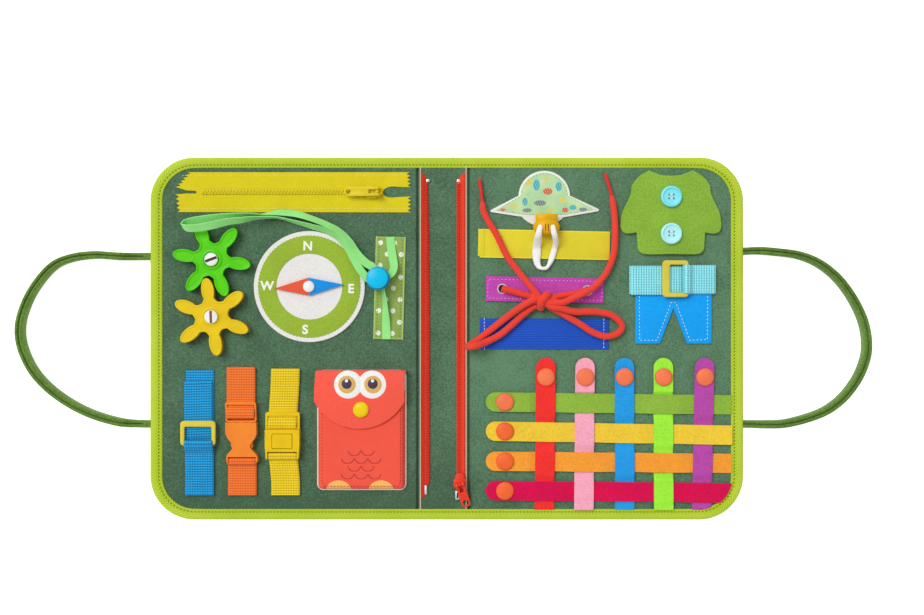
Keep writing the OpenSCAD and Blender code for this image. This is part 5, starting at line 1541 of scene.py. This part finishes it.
seams = [[(28.9, -8.3), (28.7, 14.6)], [(112.1, -7.2), (112.2, 14.4)]]
rides(stitches("ribbed_seam", seams, 2.3, 6.05, seam_white, 1.9, 0.5), "right_half", "bands_mixed")

# Jacket with its buttons
JACKET_X, JACKET_Y = 158.9, 58.7
jacket_half = [
    (0, 55), (6, 55.4), (11, 57), (15.4, 58.8), (22.4, 54.4), (27, 48.5), (28, 42.5), (31, 35.7), (34, 29.2),
    (35, 22.8), (35, 18.5), (33, 15.2), (29.4, 14.5), (23.8, 15.3), (23.5, 8), (23, 3.6), (20.8, .9),
    (15.4, 0), (0, .2),
]
rounded = []
for first, last in ((0, 3), (3, 13), (13, 18)):
    bend = smooth_line([(x, y, 0) for x, y in jacket_half[first:last + 1]], 1.5)
    rounded += [(p.x, p.y) for p in bend[:-1]]
rounded.append(jacket_half[-1])
jacket_outline = [(JACKET_X - x, JACKET_Y + y) for x, y in rounded[:-1]]
jacket_outline += [(JACKET_X + x, JACKET_Y + y) for x, y in reversed(rounded[1:])]
button_profile = [
    (0, 8.3), (4.2, 7.9), (6.4, 7.85), (7.3, 8.2), (7.5, 9.0), (7.35, 9.9), (6.8, 10.5), (6.1, 10.6),
    (5.6, 10.25), (5.3, 9.75), (4.6, 9.6), (0, 9.55),
]
well_profile = [(0, 7.9), (3.2, 7.9), (3.2, 8.5), (0, 8.6)]
jacket_lime = felt("jacket_lime", rgb(138, 180, 62), 0.55)
coat = plate("jacket_felt", jacket_outline, PAGE, 7.8, jacket_lime, 0.55, 3)
rides(coat, "right_half", "jacket_lime", "jacket")
placket = sweep("jacket_placket", [(JACKET_X + 6.6, JACKET_Y + 1.2 + 2 * k, 7.72) for k in range(9)],
                round_section(0.5, 0.3, 8), jacket_lime)
rides(placket, "right_half", "jacket_lime")
for name, by, pale in (("lower", 73.2, rgb(176, 240, 244)), ("upper", 99.0, rgb(130, 230, 240))):
    finish = plastic("button_cyan_" + name, pale, 0.3)
    button = turned_part("jacket_button_" + name, button_profile, JACKET_X, by, finish, 48)
    holes = [(JACKET_X + a, by + b) for a in (-1.45, 1.45) for b in (-1.3, 1.3)]
    carved(button, *(plate("hole", arc(hx, hy, 0.75, 0, 330, 11), 7, 11, finish, 0) for hx, hy in holes))
    paint(button, finish)
    rides(button, "right_half", "button_cyan", *when(name == "lower", "jacket_buttons"))
    # Painted shade: a dark disc under the button, seen through its holes.
    well = turned_part("jacket_button_well_" + name, well_profile, JACKET_X, by, painted_shade_dark, 24)
    rides(well, "right_half", "button_cyan")
    bars = [(JACKET_X, by + b, 9.62, 0) for b in (-1.3, 1.3)]
    rides(copies("jacket_thread_" + name, bead(2.6, 1.1, 0.8, seam_white), bars), "right_half", "button_cyan")

# Shorts and the belt
SHORTS_X = 160.9
shorts_blue = felt("shorts_blue", rgb(22, 163, 248), 0.3)
shorts_outline = [(-26.7, -3.6), (-9.5, -3.6), (0, 21.1), (9.5, -3.6), (26.7, -3.6), (26.7, 49), (-26.7, 49)]
shorts = plate("shorts_cloth", [(SHORTS_X + x, y) for x, y in shorts_outline], PAGE, 6.2, shorts_blue, 0.35)
rides(shorts, "right_half", "shorts_blue", "shorts")
stitch_line = [
    (-23.9, 33), (-23.7, -1.2), (-11.6, -1.2), (-1.6, 25.2), (1.6, 25.2), (11.4, -1.2), (23.6, -0.6),
    (23.9, 33),
]
stitch_line = [(SHORTS_X + x, y) for x, y in stitch_line]
seam_cream = thread("seam_cream", rgb(214, 232, 240))
rides(stitches("shorts_seam", [stitch_line], 2.6, 6.22, seam_cream, 1.5, 0.6), "right_half", "shorts_blue")
web_cyan = webbing("web_cyan", rgb(138, 224, 238), 0.4)
BELT_Y = 41.7


def belt_run(name, points, y, step=1.0):
    """A run of the belt through points given as (x, z), at one Y."""
    line = smooth_line([(x, y, z) for x, z in points], step)
    return sweep(name, line, WEB, web_cyan, (0, 1, 0), 50)


line = [(130.6, 6.0), (132, 6.75), (150, 6.82), (175, 6.82), (186.6, 6.82), (189.6, 6.6)]
rides(belt_run("belt_base", line, BELT_Y - 0.8), "right_half", "web_cyan", "belt")
line = [(131, 7.2), (133, 7.9), (140, 8.05), (150, 8.05), (164, 8.0), (166, 7.6)]
rides(belt_run("belt_over", line, BELT_Y - 1.3), "right_half", "web_cyan")
line = hem(169.3, 10.2, 265, 30)
line += [(172.4, 9.6), (174.4, 8.2), (178, 8.05), (184, 8.0), (188.8, 7.7), (189.8, 7.0)]
rides(belt_run("belt_turn", line, BELT_Y - 0.4, 0.8), "right_half", "web_cyan")
belt_yellow = plastic("belt_ring_yellow", rgb(216, 199, 70), 0.4)
ring_bars = 5.1, 3.1, 2.6, 3.1
buckle = flat_ring("belt_ring_frame", 152.3, BELT_Y - 12.8, 170.6, BELT_Y + 12.8, ring_bars, 8.9, belt_yellow)
rides(buckle, "belt_ring", "ring_yellow", "belt_ring")

# Weaving strips, their loose ends and the snaps
row_colours = {
    "green": rgb(142, 182, 64), "yellow": rgb(240, 201, 58), "orange": rgb(247, 158, 54),
    "crimson": rgb(216, 14, 78),
}
column_colours = {
    "red": rgb(245, 52, 48), "pink": rgb(248, 168, 190), "blue": rgb(38, 155, 230), "lime": rgb(160, 240, 62),
    "purple": rgb(183, 75, 168),
}
ROWS = (-45.7, -66.2, -86.7, -107.2)
COLUMNS = (71.7, 99.5, 127.3, 155.1, 182.9)
ROW_SLIPS = ((1.5, -0.7), (1.6, -1.3), (1.1, -0.6), (1.1, -0.6))
COLUMN_SLIPS = ((0, -1.0), (-0.4, -1.3), (-0.8, -0.4), (-1.4, -1.1), (-0.3, -2.3))
STRIP = web_section(13.7, 1.2, 0.25)
LOW, HIGH = 5.4, 6.75
cap_profile = [(0, 7.2), (5.6, 7.3), (6.2, 7.7), (6.25, 8.3), (5.9, 8.9), (5.0, 9.4), (3.2, 9.8), (0, 9.95)]


def window_reach(across, half_across, half_along):
    """How far the rounded window goes at this distance from its middle line, and a little under its edge."""
    depth = max(0.0, abs(across) - (half_across - WINDOW_R))
    return half_along - WINDOW_R + sqrt(max(0.0, WINDOW_R ** 2 - depth ** 2)) + 0.3


def woven(name, tip, joint, crossings, over, reach, slip, place, finish):
    """A strip from its round tip, under and over the crossings, to the binding.

    Reach gives where it ends and place turns (along, across, level) into a point; slip is how far it has
    shifted sideways at its two ends.
    """
    way = 1 if joint > tip else -1
    spots = [(joint, True, 0.5)] + [(c, o, 7.4) for c, o in zip(crossings, over)]
    total = (reach(slip[1]) - tip) * way
    start = [(6.85 * (1 - cos(radians(a))), sin(radians(a))) for a in range(0, 90, 10)]
    steps = start + [(6.85 + (total - 6.85) * k / 130, 1.0) for k in range(131)]

    def level(along):
        for (a, up_a, flat_a), (b, up_b, flat_b) in zip(spots, spots[1:]):
            t = ((along - a) * way - flat_a) / ((b - a) * way - flat_a - flat_b)
            if t < 1:
                t = max(0.0, t)
                t = t * t * (3 - 2 * t)
                return (HIGH if up_a else LOW) * (1 - t) + (HIGH if up_b else LOW) * t
        return HIGH if spots[-1][1] else LOW

    rows = []
    for far, wide in steps:
        t = far / total
        shift = slip[0] + (slip[1] - slip[0]) * t
        ring = []
        for a, b in STRIP + STRIP[:1]:
            stretch = (reach(a + slip[1]) - tip) * way - total
            along = tip + way * (far + stretch * t ** 4)
            ring.append(place(along, a * wide + shift, level(tip + way * far) + b * max(wide, 0.15)))
        rows.append(ring)
    return net(name, rows, finish, angle=50)


snap_orange = plastic("snap_orange", rgb(243, 120, 77), 0.45)
snap_deep = plastic("snap_deep", rgb(243, 104, 50), 0.45)
strip_finishes = {}
for name, colour in {**row_colours, **column_colours}.items():
    strip_finishes[name] = felt("strip_" + name, colour, 0.4)


def lay_strips(kind, names, lines, crossings, slips, tip, joint, snap, hinge):
    """All strips across or down, with their snaps; the hinge's two places are worked out in metres and not
    used further.
    """
    is_row = kind == "across"
    for k, (name, middle) in enumerate(zip(names, lines)):

        def place(along, across, z):
            return (along, middle + across, z) if is_row else (middle + across, along, z)

        def reach(across):
            if is_row:
                return window_reach(middle + across, WINDOW_H, WINDOW_W)
            return -window_reach(middle + across, WINDOW_W, WINDOW_H)

        node = f"{kind}_end_{k + 1}"
        over = [(k + j) % 2 == is_row for j in range(len(crossings))]
        finish = strip_finishes[name]
        strip = woven(f"strip_{kind}_{name}", tip, joint, crossings, over, reach, slips[k], place, finish)
        start, end = metres(place(spot, 0, 6.7) for spot in hinge)
        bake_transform(strip)
        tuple(start)
        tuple(end)
        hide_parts(node, *when(is_row and k == 0, "weave_strips"))
        x, y, _ = place(snap, slips[k][0], 0)
        tint = snap_deep if is_row and k else snap_orange
        cap = turned_part(f"snap_{kind}_{name}", cap_profile, x, y, tint, 36, 60)
        rides(cap, node, "snap_orange")


lay_strips("across", row_colours, ROWS, COLUMNS, ROW_SLIPS, 29.65, 59.05, 43.05, (62.0, 56.2))
lay_strips("down", column_colours, COLUMNS, ROWS, COLUMN_SLIPS, -13.45, -36.85, -26.85, (-39.8, -34.0))
sockets = moulded("snap_sockets_set", "snap_sockets", snap_orange, 0.25)
rides(sockets, "right_half", "snap_orange", "snap_sockets")

# Studio: a white floor, a soft key light from the upper left, and even light all round
deselect()
bpy.ops.mesh.primitive_plane_add(size=8)
floor = bpy.context.object
floor.name = "floor"
floor_white = Finish("floor_white", (0.93, 0.93, 0.93, 1), 0.9, Specular_IOR_Level=0.0)
paint(floor, floor_white)
floor_white.shader.inputs["Emission Color"].default_value = (1, 1, 1, 1)
floor_white.shader.inputs["Emission Strength"].default_value = 0.7
key = bpy.data.lights.new("key", "SUN")
key.energy, key.angle = 1.75, 0.55
lamp = bpy.data.objects.new("key", key)
scene.collection.objects.link(lamp)
lamp.rotation_euler = Vector((0.42, -0.36, -0.83)).to_track_quat("-Z", "Y").to_euler()
studio = bpy.data.worlds.new("studio")
scene.world = studio
studio.use_nodes = True
sky = studio.node_tree.nodes["Background"]
sky.inputs["Color"].default_value = (1, 1, 1, 1)
sky.inputs["Strength"].default_value = 0.55
